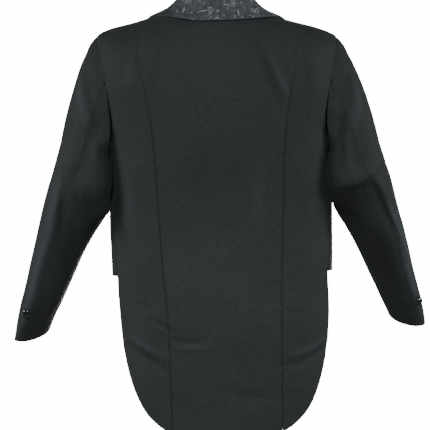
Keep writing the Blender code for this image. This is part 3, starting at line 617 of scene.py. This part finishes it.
def foldCollar(piece):
    places = vertexPlaces(piece)
    rise = np.full(len(places), float(collarRise))
    outwards = np.stack([places[:, 0], places[:, 1], rise], axis=1)
    outwards /= np.linalg.norm(outwards, axis=1, keepdims=True)
    relief = foldHeights(places, places[:, 1] / facingDepth, collarFolds)
    moveVertices(piece, places + outwards * relief[:, None] + bodyShift(places))
    # Both halves are measured along the roll of the wearer's left one
    mirrored = places.copy()
    mirrored[:, 0] = np.abs(mirrored[:, 0])
    nearest = np.full(len(places), 1e9)
    along = np.zeros(len(places))
    spotRadius = np.zeros(len(places))
    passed = 0.0
    line = roundCorners(rollLine, 3)
    for start, end in zip(line, line[1:]):
        run = end - start
        t = np.clip((mirrored - start) @ run / (run @ run), 0, 1)
        here = start + t[:, None] * run
        gap = np.linalg.norm(mirrored - here, axis=1)
        closer = gap < nearest
        nearest[closer] = gap[closer]
        along[closer] = (passed + t * np.linalg.norm(run))[closer]
        spotRadius[closer] = np.hypot(here[:, 0], here[:, 1])[closer]
        passed += np.linalg.norm(run)
    inside = np.hypot(mirrored[:, 0], mirrored[:, 1]) < spotRadius
    across = np.where(inside, nearest, -nearest)
    unrolled = np.stack([along * np.sign(places[:, 0]), across], axis=1)
    storeCloth(piece, unrolled, relief, rimShades["collar"])


# A wave texture of scale 1 repeats at this length, and a diagonal one at twice as much
waveRepeat = 0.314
fullTurn = 6.28

# Matte black suiting: worsted twill, with a cool grey on its folds' ridges that is partly lint and
# partly painted sheen, and painted shade in their troughs
suitingLook = {
    "dark": "#1D1F20",
    "light": "#282B2C",
    # The grey that ridges are lightened towards: partly lint, partly painted sheen
    "lintAndPaintedSheen": "#42474A",
    "sheenTint": "#E1EAEF",
    "twillPitch": 0.0014,  # the real 0.5 mm twill would vanish at this scale
    "mottlePatches": 14.0,  # to a metre
    "threads": 900.0,  # to a metre; the real 2000 would vanish too
    "threadStretch": 0.16,
    "roughness": (0.66, 0.76),
    "weaveDepth": 0.00018,  # metres
}


def makeSuiting(look):
    material, tree, shader = newMaterial("black_worsted_suiting")
    uv = addNode(tree, "ShaderNodeUVMap", uv_map="cloth").outputs["UV"]
    # Diagonal twill ribs
    twill = addNode(
        tree,
        "ShaderNodeTexWave",
        {
            "Vector": uv,
            "Scale": 2 * waveRepeat / look["twillPitch"],
            "Distortion": 0.6,
            "Detail": 1.0,
        },
        wave_type="BANDS",
        bands_direction="DIAGONAL",
    )
    # Soft patches, as worn and steamed cloth has
    patches = addNode(
        tree,
        "ShaderNodeTexNoise",
        {"Vector": uv, "Scale": look["mottlePatches"], "Detail": 4.0, "Roughness": 0.6},
        noise_dimensions="2D",
    )
    # Uneven warp and weft threads, each drawn out along its own way
    threads = []
    fine, drawnOut = look["threads"], look["threads"] * look["threadStretch"]
    for stretch in ((fine, drawnOut, 1), (drawnOut, fine, 1)):
        drawn = addNode(tree, "ShaderNodeMapping", {"Vector": uv, "Scale": stretch})
        uneven = addNode(
            tree,
            "ShaderNodeTexNoise",
            {"Vector": drawn.outputs[0], "Scale": 1.0, "Detail": 3.0, "Roughness": 0.65},
            noise_dimensions="2D",
        )
        threads.append(uneven.outputs[0])
    fibres = addNode(tree, "ShaderNodeMath", {0: threads[0], 1: threads[1]}, operation="ADD")
    base = addNode(
        tree,
        "ShaderNodeMix",
        {0: patches.outputs[0], 6: toLinear(look["dark"]), 7: toLinear(look["light"])},
        data_type="RGBA",
    )
    ribs = addNode(
        tree,
        "ShaderNodeMapRange",
        {"Value": twill.outputs["Color"], "To Min": 0.86, "To Max": 1.1},
    )
    grain = addNode(
        tree,
        "ShaderNodeMapRange",
        {
            "Value": fibres.outputs[0],
            "From Min": 0.75,
            "From Max": 1.25,
            "To Min": 0.7,
            "To Max": 1.3,
        },
    )
    weave = addNode(
        tree, "ShaderNodeMath", {0: ribs.outputs[0], 1: grain.outputs[0]}, operation="MULTIPLY"
    )
    woven = addNode(
        tree,
        "ShaderNodeVectorMath",
        {0: base.outputs[2], "Scale": weave.outputs[0]},
        operation="SCALE",
    )
    # Painted sheen and painted shade from the folds' heights: ridges are lightened towards a grey
    # that is partly lint and partly painted sheen, and troughs are painted darker, where shade
    # falls
    relief = addNode(tree, "ShaderNodeAttribute", attribute_name="relief")
    paintedSheenAndLint = addNode(
        tree,
        "ShaderNodeMapRange",
        {
            "Value": relief.outputs["Fac"],
            "From Min": 0.2,
            "From Max": 2.6,
            "To Min": 0.0,
            "To Max": 0.45,
        },
    )
    sheenedAndLinted = addNode(
        tree,
        "ShaderNodeMix",
        {0: paintedSheenAndLint.outputs[0], 6: woven.outputs[0], 7: toLinear(look["lintAndPaintedSheen"])},
        data_type="RGBA",
    )
    # Painted shade: the deeper the trough, the darker the colour, down to 0.58 of it
    paintedTroughShade = addNode(
        tree,
        "ShaderNodeMapRange",
        {
            "Value": relief.outputs["Fac"],
            "From Min": -3.2,
            "From Max": 0.0,
            "To Min": 0.58,
            "To Max": 1.0,
        },
    )
    shaded = addNode(
        tree,
        "ShaderNodeVectorMath",
        {0: sheenedAndLinted.outputs[2], "Scale": paintedTroughShade.outputs[0]},
        operation="SCALE",
    )
    # Turned edges along the seams lie in shadow and hold no shine
    rim = addNode(tree, "ShaderNodeAttribute", attribute_name="rim")
    seamShade = addNode(
        tree,
        "ShaderNodeMapRange",
        {"Value": rim.outputs["Fac"], "From Max": 0.6, "To Min": 1.0, "To Max": 0.4},
    )
    seamed = addNode(
        tree,
        "ShaderNodeVectorMath",
        {0: shaded.outputs[0], "Scale": seamShade.outputs[0]},
        operation="SCALE",
    )
    tree.links.new(seamed.outputs[0], shader.inputs["Base Color"])
    smoothest, roughest = look["roughness"]
    rough = addNode(
        tree,
        "ShaderNodeMapRange",
        {"Value": patches.outputs[0], "To Min": smoothest, "To Max": roughest},
    )
    tree.links.new(rough.outputs[0], shader.inputs["Roughness"])
    # Worsted shines softly towards the light and goes black away from it
    shader.inputs["Specular IOR Level"].default_value = 0.3
    shader.inputs["Sheen Weight"].default_value = 0.05
    shader.inputs["Sheen Roughness"].default_value = 0.45
    shader.inputs["Sheen Tint"].default_value = toLinear(look["sheenTint"])
    height = addNode(
        tree,
        "ShaderNodeMath",
        {0: twill.outputs["Color"], 1: fibres.outputs[0]},
        operation="ADD",
    )
    bump = addNode(
        tree,
        "ShaderNodeBump",
        {"Height": height.outputs[0], "Strength": 0.35, "Distance": look["weaveDepth"]},
    )
    tree.links.new(bump.outputs[0], shader.inputs["Normal"])
    return material


# Silver-grey jacquard brocade: satin leaves and flowers drawn in thin strokes on a scrolled
# ground, which reads as mottled grey with bright hairlines
brocadeLook = {
    "ground": "#1F2224",
    "shade": "#343A3D",
    "silver": "#5F6569",
    "bright": "#8E9498",
    "longLeaf": {"cell": 19.0, "shift": 41.0, "half": 9.5, "width": 0.75, "bend": 0.04},
    "shortLeaf": {"cell": 12.5, "shift": 17.0, "half": 5.5, "width": 0.5, "bend": 0.075},
    "flowerCells": 31.0,  # mm from flower to flower
    "flowerRadius": 3.4,
    "petals": 6.0,
    "curlCells": 10.0,
    "curlPitch": 1.8,
    "rib": 0.75,  # mm; the real 0.3 mm ribs would vanish at this scale
    "veinWaves": 62.0,  # how close the fine veins run
    "drop": 0.37,  # how far motifs are shifted along, for each shift across
    "looseness": 0.62,
    "wander": 5.0,  # mm
    "weaveDepth": 0.00025,  # metres
}


def makeBrocade(look):
    material, tree, shader = newMaterial("silver_jacquard_brocade")

    def motifCell(size, shift):
        # The nearest motif of a loose half-drop repeat: a place in it, and its random numbers
        moved = addNode(
            tree,
            "ShaderNodeVectorMath",
            {0: cloth, 1: (shift, shift * look["drop"], 0)},
            operation="ADD",
        )
        cells = addNode(
            tree,
            "ShaderNodeTexVoronoi",
            {"Vector": moved, "Scale": 1 / size, "Randomness": look["looseness"]},
            voronoi_dimensions="2D",
        )
        local = addNode(
            tree,
            "ShaderNodeVectorMath",
            {0: moved, 1: cells.outputs["Position"]},
            operation="SUBTRACT",
        )
        return local, addNode(tree, "ShaderNodeSeparateColor", {0: cells.outputs["Color"]}).outputs

    def leafStrokes(leaf):
        # Each leaf is one curved stroke that tapers to both ends, turned its own way
        local, chance = motifCell(leaf["cell"], leaf["shift"])
        angle = addNode(tree, "ShaderNodeMath", {0: chance[1], 1: fullTurn}, operation="MULTIPLY")
        turned = addNode(
            tree,
            "ShaderNodeVectorRotate",
            {"Vector": local, "Angle": angle},
            rotation_type="Z_AXIS",
        )
        parts = addNode(tree, "ShaderNodeSeparateXYZ", {0: turned}).outputs
        squared = addNode(tree, "ShaderNodeMath", {0: parts[0], 1: parts[0]}, operation="MULTIPLY")
        bent = addNode(
            tree,
            "ShaderNodeMath",
            {0: squared, 1: leaf["bend"], 2: parts[1]},
            operation="MULTIPLY_ADD",
        )
        middle = leaf["bend"] * leaf["half"] ** 2 / 3
        centred = addNode(tree, "ShaderNodeMath", {0: bent, 1: middle}, operation="SUBTRACT")
        aside = addNode(tree, "ShaderNodeMath", {0: centred}, operation="ABSOLUTE")
        along = addNode(tree, "ShaderNodeMath", {0: parts[0]}, operation="ABSOLUTE")
        halfWidth = addNode(
            tree,
            "ShaderNodeMapRange",
            {"Value": along, "From Max": leaf["half"], "To Min": leaf["width"], "To Max": -0.35},
        )
        over = addNode(tree, "ShaderNodeMath", {0: aside, 1: halfWidth}, operation="SUBTRACT")
        return addNode(
            tree,
            "ShaderNodeMapRange",
            {"Value": over, "From Min": -0.2, "From Max": 0.3, "To Min": 1.0, "To Max": 0.0},
            interpolation_type="SMOOTHSTEP",
        )

    uv = addNode(tree, "ShaderNodeUVMap", uv_map="cloth")
    millimetres = addNode(tree, "ShaderNodeVectorMath", {0: uv, "Scale": 1000.0}, operation="SCALE")
    # Hand-drawn lines are never quite regular
    wander = addNode(
        tree,
        "ShaderNodeTexNoise",
        {"Vector": millimetres, "Scale": 0.09, "Detail": 2.0},
        noise_dimensions="2D",
    )
    reach = look["wander"]
    drift = addNode(
        tree,
        "ShaderNodeVectorMath",
        {0: wander.outputs["Color"], 1: [reach] * 3, 2: [-reach / 2] * 3},
        operation="MULTIPLY_ADD",
    )
    cloth = addNode(tree, "ShaderNodeVectorMath", {0: millimetres, 1: drift}, operation="ADD")

    longLeaves = leafStrokes(look["longLeaf"])
    shortLeaves = leafStrokes(look["shortLeaf"])
    leaves = addNode(tree, "ShaderNodeMath", {0: longLeaves, 1: shortLeaves}, operation="MAXIMUM")

    # Round flowers: a lobed ring about a small bright heart, on a plain dark spot
    local, chance = motifCell(look["flowerCells"], 3.0)
    parts = addNode(tree, "ShaderNodeSeparateXYZ", {0: local}).outputs
    radius = addNode(tree, "ShaderNodeVectorMath", {0: local}, operation="LENGTH").outputs["Value"]
    angle = addNode(tree, "ShaderNodeMath", {0: parts[1], 1: parts[0]}, operation="ARCTAN2")
    petals = addNode(
        tree,
        "ShaderNodeMath",
        {0: angle, 1: look["petals"], 2: chance[0]},
        operation="MULTIPLY_ADD",
    )
    lobes = addNode(tree, "ShaderNodeMath", {0: petals}, operation="COSINE")
    rim = addNode(
        tree,
        "ShaderNodeMath",
        {0: lobes, 1: 0.16 * look["flowerRadius"], 2: look["flowerRadius"]},
        operation="MULTIPLY_ADD",
    )
    pastRim = addNode(tree, "ShaderNodeMath", {0: radius, 1: rim}, operation="SUBTRACT")
    nearRim = addNode(tree, "ShaderNodeMath", {0: pastRim}, operation="ABSOLUTE")
    ring = addNode(
        tree,
        "ShaderNodeMapRange",
        {"Value": nearRim, "From Min": 0.3, "From Max": 0.75, "To Min": 0.8, "To Max": 0.0},
        interpolation_type="SMOOTHSTEP",
    )
    heart = addNode(
        tree,
        "ShaderNodeMapRange",
        {"Value": radius, "From Min": 1.1, "From Max": 1.7, "To Min": 1.0, "To Max": 0.0},
        interpolation_type="SMOOTHSTEP",
    )
    flowers = addNode(tree, "ShaderNodeMath", {0: ring, 1: heart}, operation="MAXIMUM")
    spot = addNode(
        tree,
        "ShaderNodeMapRange",
        {
            "Value": radius,
            "From Min": look["flowerRadius"],
            "From Max": look["flowerRadius"] + 1.5,
            "To Min": 1.0,
            "To Max": 0.0,
        },
        interpolation_type="SMOOTHSTEP",
    )

    # Small scrolls that wind in on themselves, and fine veins between them
    local, chance = motifCell(look["curlCells"], 83.0)
    parts = addNode(tree, "ShaderNodeSeparateXYZ", {0: local}).outputs
    radius = addNode(tree, "ShaderNodeVectorMath", {0: local}, operation="LENGTH").outputs["Value"]
    angle = addNode(tree, "ShaderNodeMath", {0: parts[1], 1: parts[0]}, operation="ARCTAN2")
    wound = addNode(
        tree,
        "ShaderNodeMath",
        {0: radius, 1: fullTurn / look["curlPitch"], 2: angle},
        operation="MULTIPLY_ADD",
    )
    started = addNode(
        tree, "ShaderNodeMath", {0: chance[2], 1: fullTurn, 2: wound}, operation="MULTIPLY_ADD"
    )
    wave = addNode(tree, "ShaderNodeMath", {0: started}, operation="COSINE")
    trough = addNode(tree, "ShaderNodeMath", {0: 1.0, 1: wave}, operation="SUBTRACT")
    spiral = addNode(
        tree,
        "ShaderNodeMapRange",
        {"Value": trough, "From Min": 0.2, "From Max": 0.9, "To Min": 0.6, "To Max": 0.0},
        interpolation_type="SMOOTHSTEP",
    )
    disc = addNode(
        tree,
        "ShaderNodeMapRange",
        {"Value": radius, "From Min": 3.6, "From Max": 5.4, "To Min": 1.0, "To Max": 0.0},
        interpolation_type="SMOOTHSTEP",
    )
    curls = addNode(tree, "ShaderNodeMath", {0: spiral, 1: disc}, operation="MULTIPLY")
    flow = addNode(
        tree,
        "ShaderNodeTexNoise",
        {"Vector": cloth, "Scale": 0.11, "Detail": 1.5},
        noise_dimensions="2D",
    )
    phase = addNode(tree, "ShaderNodeMath", {0: flow, 1: look["veinWaves"]}, operation="MULTIPLY")
    wave = addNode(tree, "ShaderNodeMath", {0: phase}, operation="COSINE")
    trough = addNode(tree, "ShaderNodeMath", {0: 1.0, 1: wave}, operation="SUBTRACT")
    veins = addNode(
        tree,
        "ShaderNodeMapRange",
        {"Value": trough, "From Min": 0.1, "From Max": 0.6, "To Min": 0.5, "To Max": 0.0},
        interpolation_type="SMOOTHSTEP",
    )
    scrolls = addNode(tree, "ShaderNodeMath", {0: curls, 1: veins}, operation="MAXIMUM")
    drawn = addNode(tree, "ShaderNodeMath", {0: scrolls, 1: leaves}, operation="MAXIMUM")
    cleared = addNode(tree, "ShaderNodeMath", {0: 1.0, 1: spot}, operation="SUBTRACT")
    kept = addNode(tree, "ShaderNodeMath", {0: drawn, 1: cleared}, operation="MULTIPLY")
    pattern = addNode(tree, "ShaderNodeMath", {0: kept, 1: flowers}, operation="MAXIMUM")
    motif = addNode(tree, "ShaderNodeMath", {0: leaves, 1: flowers}, operation="MAXIMUM")

    # The satin takes the light in patches, and most on the motifs
    clouds = addNode(
        tree,
        "ShaderNodeTexNoise",
        {"Vector": millimetres, "Scale": 0.035, "Detail": 3.0},
        noise_dimensions="2D",
    )
    base = addNode(
        tree,
        "ShaderNodeMix",
        {0: clouds, 6: toLinear(look["ground"]), 7: toLinear(look["shade"])},
        data_type="RGBA",
    )
    threads = addNode(
        tree,
        "ShaderNodeMix",
        {0: motif, 6: toLinear(look["silver"]), 7: toLinear(look["bright"])},
        data_type="RGBA",
    )
    colour = addNode(
        tree,
        "ShaderNodeMix",
        {0: pattern, 6: base.outputs[2], 7: threads.outputs[2]},
        data_type="RGBA",
    )
    # Weft ribs cross the warp
    ribs = addNode(
        tree,
        "ShaderNodeTexWave",
        {"Vector": millimetres, "Scale": waveRepeat / look["rib"], "Distortion": 0.4},
        wave_type="BANDS",
        bands_direction="Y",
    )
    ribbed = addNode(
        tree, "ShaderNodeMapRange", {"Value": ribs.outputs["Color"], "To Min": 0.82, "To Max": 1.08}
    )
    # Painted shade: the deeper the collar's trough, the darker its colour, down to 0.3 of it; the
    # ribs' stripes are multiplied in too
    relief = addNode(tree, "ShaderNodeAttribute", attribute_name="relief").outputs["Fac"]
    paintedTroughShade = addNode(
        tree,
        "ShaderNodeMapRange",
        {"Value": relief, "From Min": -2.0, "From Max": 0.0, "To Min": 0.3},
    )
    light = addNode(tree, "ShaderNodeMath", {0: ribbed, 1: paintedTroughShade}, operation="MULTIPLY")
    shaded = addNode(
        tree,
        "ShaderNodeVectorMath",
        {0: colour.outputs[2], "Scale": light.outputs[0]},
        operation="SCALE",
    )
    tree.links.new(shaded.outputs[0], shader.inputs["Base Color"])
    rough = addNode(tree, "ShaderNodeMapRange", {"Value": motif, "To Min": 0.7, "To Max": 0.4})
    tree.links.new(rough.outputs[0], shader.inputs["Roughness"])
    shader.inputs["Specular IOR Level"].default_value = 0.4
    shader.inputs["Sheen Weight"].default_value = 0.1
    shader.inputs["Sheen Roughness"].default_value = 0.35
    raised = addNode(
        tree,
        "ShaderNodeMath",
        {0: ribs.outputs["Color"], 1: 0.35, 2: pattern},
        operation="MULTIPLY_ADD",
    )
    bump = addNode(
        tree,
        "ShaderNodeBump",
        {"Height": raised, "Strength": 0.5, "Distance": look["weaveDepth"]},
    )
    tree.links.new(bump.outputs[0], shader.inputs["Normal"])
    return material


# Black moulded buttons, polished, with faint swirl marks from wear
buttonLook = {
    "black": "#0F1213",
    "worn": "#1D2224",
    "swirls": 420.0,  # to a metre
    "swirlDepth": 0.00008,  # metres
    "roughness": (0.07, 0.2),
    "coat": 0.6,
}


def makeButtonPlastic(look):
    material, tree, shader = newMaterial("polished_black_button")
    spot = addNode(tree, "ShaderNodeTexCoord").outputs["Object"]
    swirls = addNode(
        tree, "ShaderNodeTexNoise", {"Vector": spot, "Scale": look["swirls"], "Detail": 4.0}
    )
    colour = addNode(
        tree,
        "ShaderNodeMix",
        {0: swirls.outputs[0], 6: toLinear(look["black"]), 7: toLinear(look["worn"])},
        data_type="RGBA",
    )
    tree.links.new(colour.outputs[2], shader.inputs["Base Color"])
    smoothest, roughest = look["roughness"]
    rough = addNode(
        tree,
        "ShaderNodeMapRange",
        {"Value": swirls.outputs[0], "To Min": smoothest, "To Max": roughest},
    )
    tree.links.new(rough.outputs[0], shader.inputs["Roughness"])
    shader.inputs["Coat Weight"].default_value = look["coat"]
    shader.inputs["Coat Roughness"].default_value = 0.05
    bump = addNode(
        tree,
        "ShaderNodeBump",
        {"Height": swirls.outputs[0], "Strength": 0.1, "Distance": look["swirlDepth"]},
    )
    tree.links.new(bump.outputs[0], shader.inputs["Normal"])
    return material


suiting = makeSuiting(suitingLook)
brocade = makeBrocade(brocadeLook)
buttonPlastic = makeButtonPlastic(buttonLook)
print("materials made")


def finishCloth(piece, material):
    piece.data.materials.clear()
    piece.data.materials.append(material)


for nodeName in ("back_centre", "back_side_left", "back_side_right", "front_left", "front_right"):
    levels = shell["fine"] if nodeName.startswith("back") else shell["plain"]
    panel = makeShell(nodeName, nodeName + "_cloth", shell["closing"]["body"], levels)
    foldBody(panel, bodyFolds)
    finishCloth(panel, suiting)
print("body made")

# Each piece of a sleeve is unrolled from the middle of the other one
cutTurns = {"top_sleeve": math.radians(155), "under_sleeve": math.radians(-25)}
for side in ("left", "right"):
    for pieceKind, cutTurn in cutTurns.items():
        nodeName = pieceKind + "_" + side
        closing = shell["closing"]["sleeve"]
        sleeve = makeShell(nodeName, nodeName + "_cloth", closing, shell["fine"])
        foldSleeve(sleeve, side, cutTurn)
        finishCloth(sleeve, suiting)
print("sleeves made")

closing = shell["closing"]["collar"]
collar = makeShell("shawl_collar", "shawl_collar_cloth", closing, shell["plain"])
foldCollar(collar)
finishCloth(collar, brocade)
print("collar made")

# Both buttons lie on the pressed crease, at these places (x, z) from behind
cuffButton = {
    # outline from the back to the crown: radius and height
    "profile": [
        (4.1, 0.0),
        (5.0, 0.6),
        (5.8, 0.8),
        (6.0, 1.15),
        (5.95, 1.5),
        (5.75, 2.0),
        (5.4, 2.5),
        (4.9, 2.97),
        (4.2, 3.42),
        (3.3, 3.8),
        (2.2, 4.08),
        (1.0, 4.22),
    ],
    "corners": 48,
    "places": {"left": (276.5, -397), "right": (-275.4, -393.5)},
    "gap": 0.3,
    "reach": 4.5,  # how far from its middle the cloth's slope is read
}


def turnButton(settings):
    bpy.ops.object.select_all(action="DESELECT")
    radius, height = settings["profile"][0]
    bpy.ops.mesh.primitive_circle_add(
        vertices=settings["corners"],
        radius=radius / 1000,
        fill_type="NGON",
        location=(0, 0, 0),
        enter_editmode=True,
    )
    for nextRadius, nextHeight in settings["profile"][1:]:
        bpy.ops.mesh.extrude_region_move(
            TRANSFORM_OT_translate={"value": (0, 0, (nextHeight - height) / 1000)}
        )
        scale = nextRadius / radius
        bpy.ops.transform.resize(value=(scale, scale, 1), center_override=(0, 0, 0))
        radius, height = nextRadius, nextHeight
    bpy.ops.mesh.select_all(action="SELECT")
    bpy.ops.mesh.normals_make_consistent(inside=False)
    bpy.ops.object.mode_set(mode="OBJECT")
    bpy.ops.object.shade_smooth_by_angle(angle=math.radians(40))
    return bpy.context.object


def clothSeat(x, z, sleeves, settings):
    # The button lies across the crease, at the mean slope of the cloth that it covers
    seats, slopes = [], []
    reach = settings["reach"]
    for aside, up in ((0, 0), (1, 0), (-1, 0), (0, 1), (0, -1)):
        start = ((x + aside * reach) / 1000, 1, (z + up * reach) / 1000)
        casts = [sleeve.ray_cast(start, (0, -1, 0)) for sleeve in sleeves]
        hits = [cast for cast in casts if cast[0]]
        if hits:
            _, seat, slope, _ = max(hits, key=lambda hit: hit[1].y)
            seats.append(seat)
            slopes.append(slope)
    axis = sum(slopes, Vector()).normalized()
    lift = max((seat - seats[0]).dot(axis) for seat in seats)
    return seats[0] + axis * (lift + settings["gap"] / 1000), axis


def placeButton(side, seat, axis):
    button = turnedButton.copy()
    button.data = turnedButton.data.copy()
    button.name = "cuff_button_" + side + "_turned"
    bpy.context.scene.collection.objects.link(button)
    pickOnly(button)
    button.rotation_euler = axis.to_track_quat("Z", "Y").to_euler()
    button.location = seat
    bpy.ops.object.transform_apply(location=True, rotation=True, scale=True)
    button.data.materials.append(buttonPlastic)
    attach(button, "root")
    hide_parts("cuff_button_" + side)


turnedButton = turnButton(cuffButton)
for side, (x, z) in cuffButton["places"].items():
    sleeves = [bpy.data.objects[name + "_sleeve_" + side + "_cloth"] for name in ("top", "under")]
    placeButton(side, *clothSeat(x, z, sleeves, cuffButton))
bpy.data.objects.remove(turnedButton)
print("buttons made")


# In metres and watts. Low and high are the sky's light from below and above, and each box
# has its place, what it points at, its size and its power.
studio = {
    "floor": -1.4,
    "floorSize": 4.0,
    "low": 0.16,
    "high": 0.11,
    "paper": 16.0,
    "spread": math.radians(40),
    "tint": "#F3F9FA",
    "boxes": {
        "back_softbox": ((0.2, 2.95, 1.15), (0, 0, -0.66), 0.9, 6.25),
        "left_softbox": ((2.7, 0.3, 0.5), (0, 0, -0.3), 0.8, 2.5),
        "right_softbox": ((-2.7, 0.3, 0.5), (0, 0, -0.3), 0.8, 2.5),
        "front_softbox": ((-0.7, -2.7, -0.35), (0, 0, -0.3), 0.9, 4),
    },
}


def makeFloor(settings):
    bpy.ops.mesh.primitive_plane_add(size=settings["floorSize"], location=(0, 0, settings["floor"]))
    floor = bpy.context.object
    floor.name = "studio_floor"
    material, tree, shader = newMaterial("pale_studio_paper")
    spot = addNode(tree, "ShaderNodeTexCoord").outputs["Object"]
    clouds = addNode(tree, "ShaderNodeTexNoise", {"Vector": spot, "Scale": 1.5, "Detail": 2.0})
    colour = addNode(
        tree,
        "ShaderNodeMix",
        {0: clouds.outputs[0], 6: toLinear("#EDEDEC"), 7: toLinear("#F4F4F3")},
        data_type="RGBA",
    )
    tree.links.new(colour.outputs[2], shader.inputs["Base Color"])
    shader.inputs["Roughness"].default_value = 0.9
    floor.data.materials.append(material)


def makeSky(settings):
    # Soft light from all around, a little stronger from below, and white paper behind the coat
    world = bpy.context.scene.world or bpy.data.worlds.new("studio_air")
    bpy.context.scene.world = world
    world.use_nodes = True
    tree = world.node_tree
    tree.nodes.clear()
    place = addNode(tree, "ShaderNodeTexCoord").outputs["Generated"]
    height = addNode(tree, "ShaderNodeSeparateXYZ", {0: place}).outputs["Z"]
    glow = addNode(
        tree,
        "ShaderNodeMapRange",
        {
            "Value": height,
            "From Min": -0.6,
            "From Max": 0.9,
            "To Min": settings["low"],
            "To Max": settings["high"],
        },
    )
    white = toLinear("#FFFFFF")
    air = addNode(tree, "ShaderNodeBackground", {"Color": white, "Strength": glow})
    paper = addNode(tree, "ShaderNodeBackground", {"Color": white, "Strength": settings["paper"]})
    seen = addNode(tree, "ShaderNodeLightPath").outputs["Is Camera Ray"]
    mixed = addNode(tree, "ShaderNodeMixShader", {0: seen, 1: air.outputs[0], 2: paper.outputs[0]})
    addNode(tree, "ShaderNodeOutputWorld", {"Surface": mixed.outputs[0]})


def makeLight(name, place, target, size, power, settings):
    # Each box has a grid, so that little of its light reaches the floor and comes back up
    bpy.ops.object.light_add(type="AREA", location=place)
    light = bpy.context.object
    light.name = name
    light.data.shape = "SQUARE"
    light.data.size = size
    light.data.energy = power
    light.data.spread = settings["spread"]
    light.data.color = toLinear(settings["tint"])[:3]
    light.rotation_euler = (Vector(target) - Vector(place)).to_track_quat("-Z", "Y").to_euler()


makeFloor(studio)
makeSky(studio)
for boxName, (place, target, size, power) in studio["boxes"].items():
    makeLight(boxName, place, target, size, power, studio)
print("studio made")
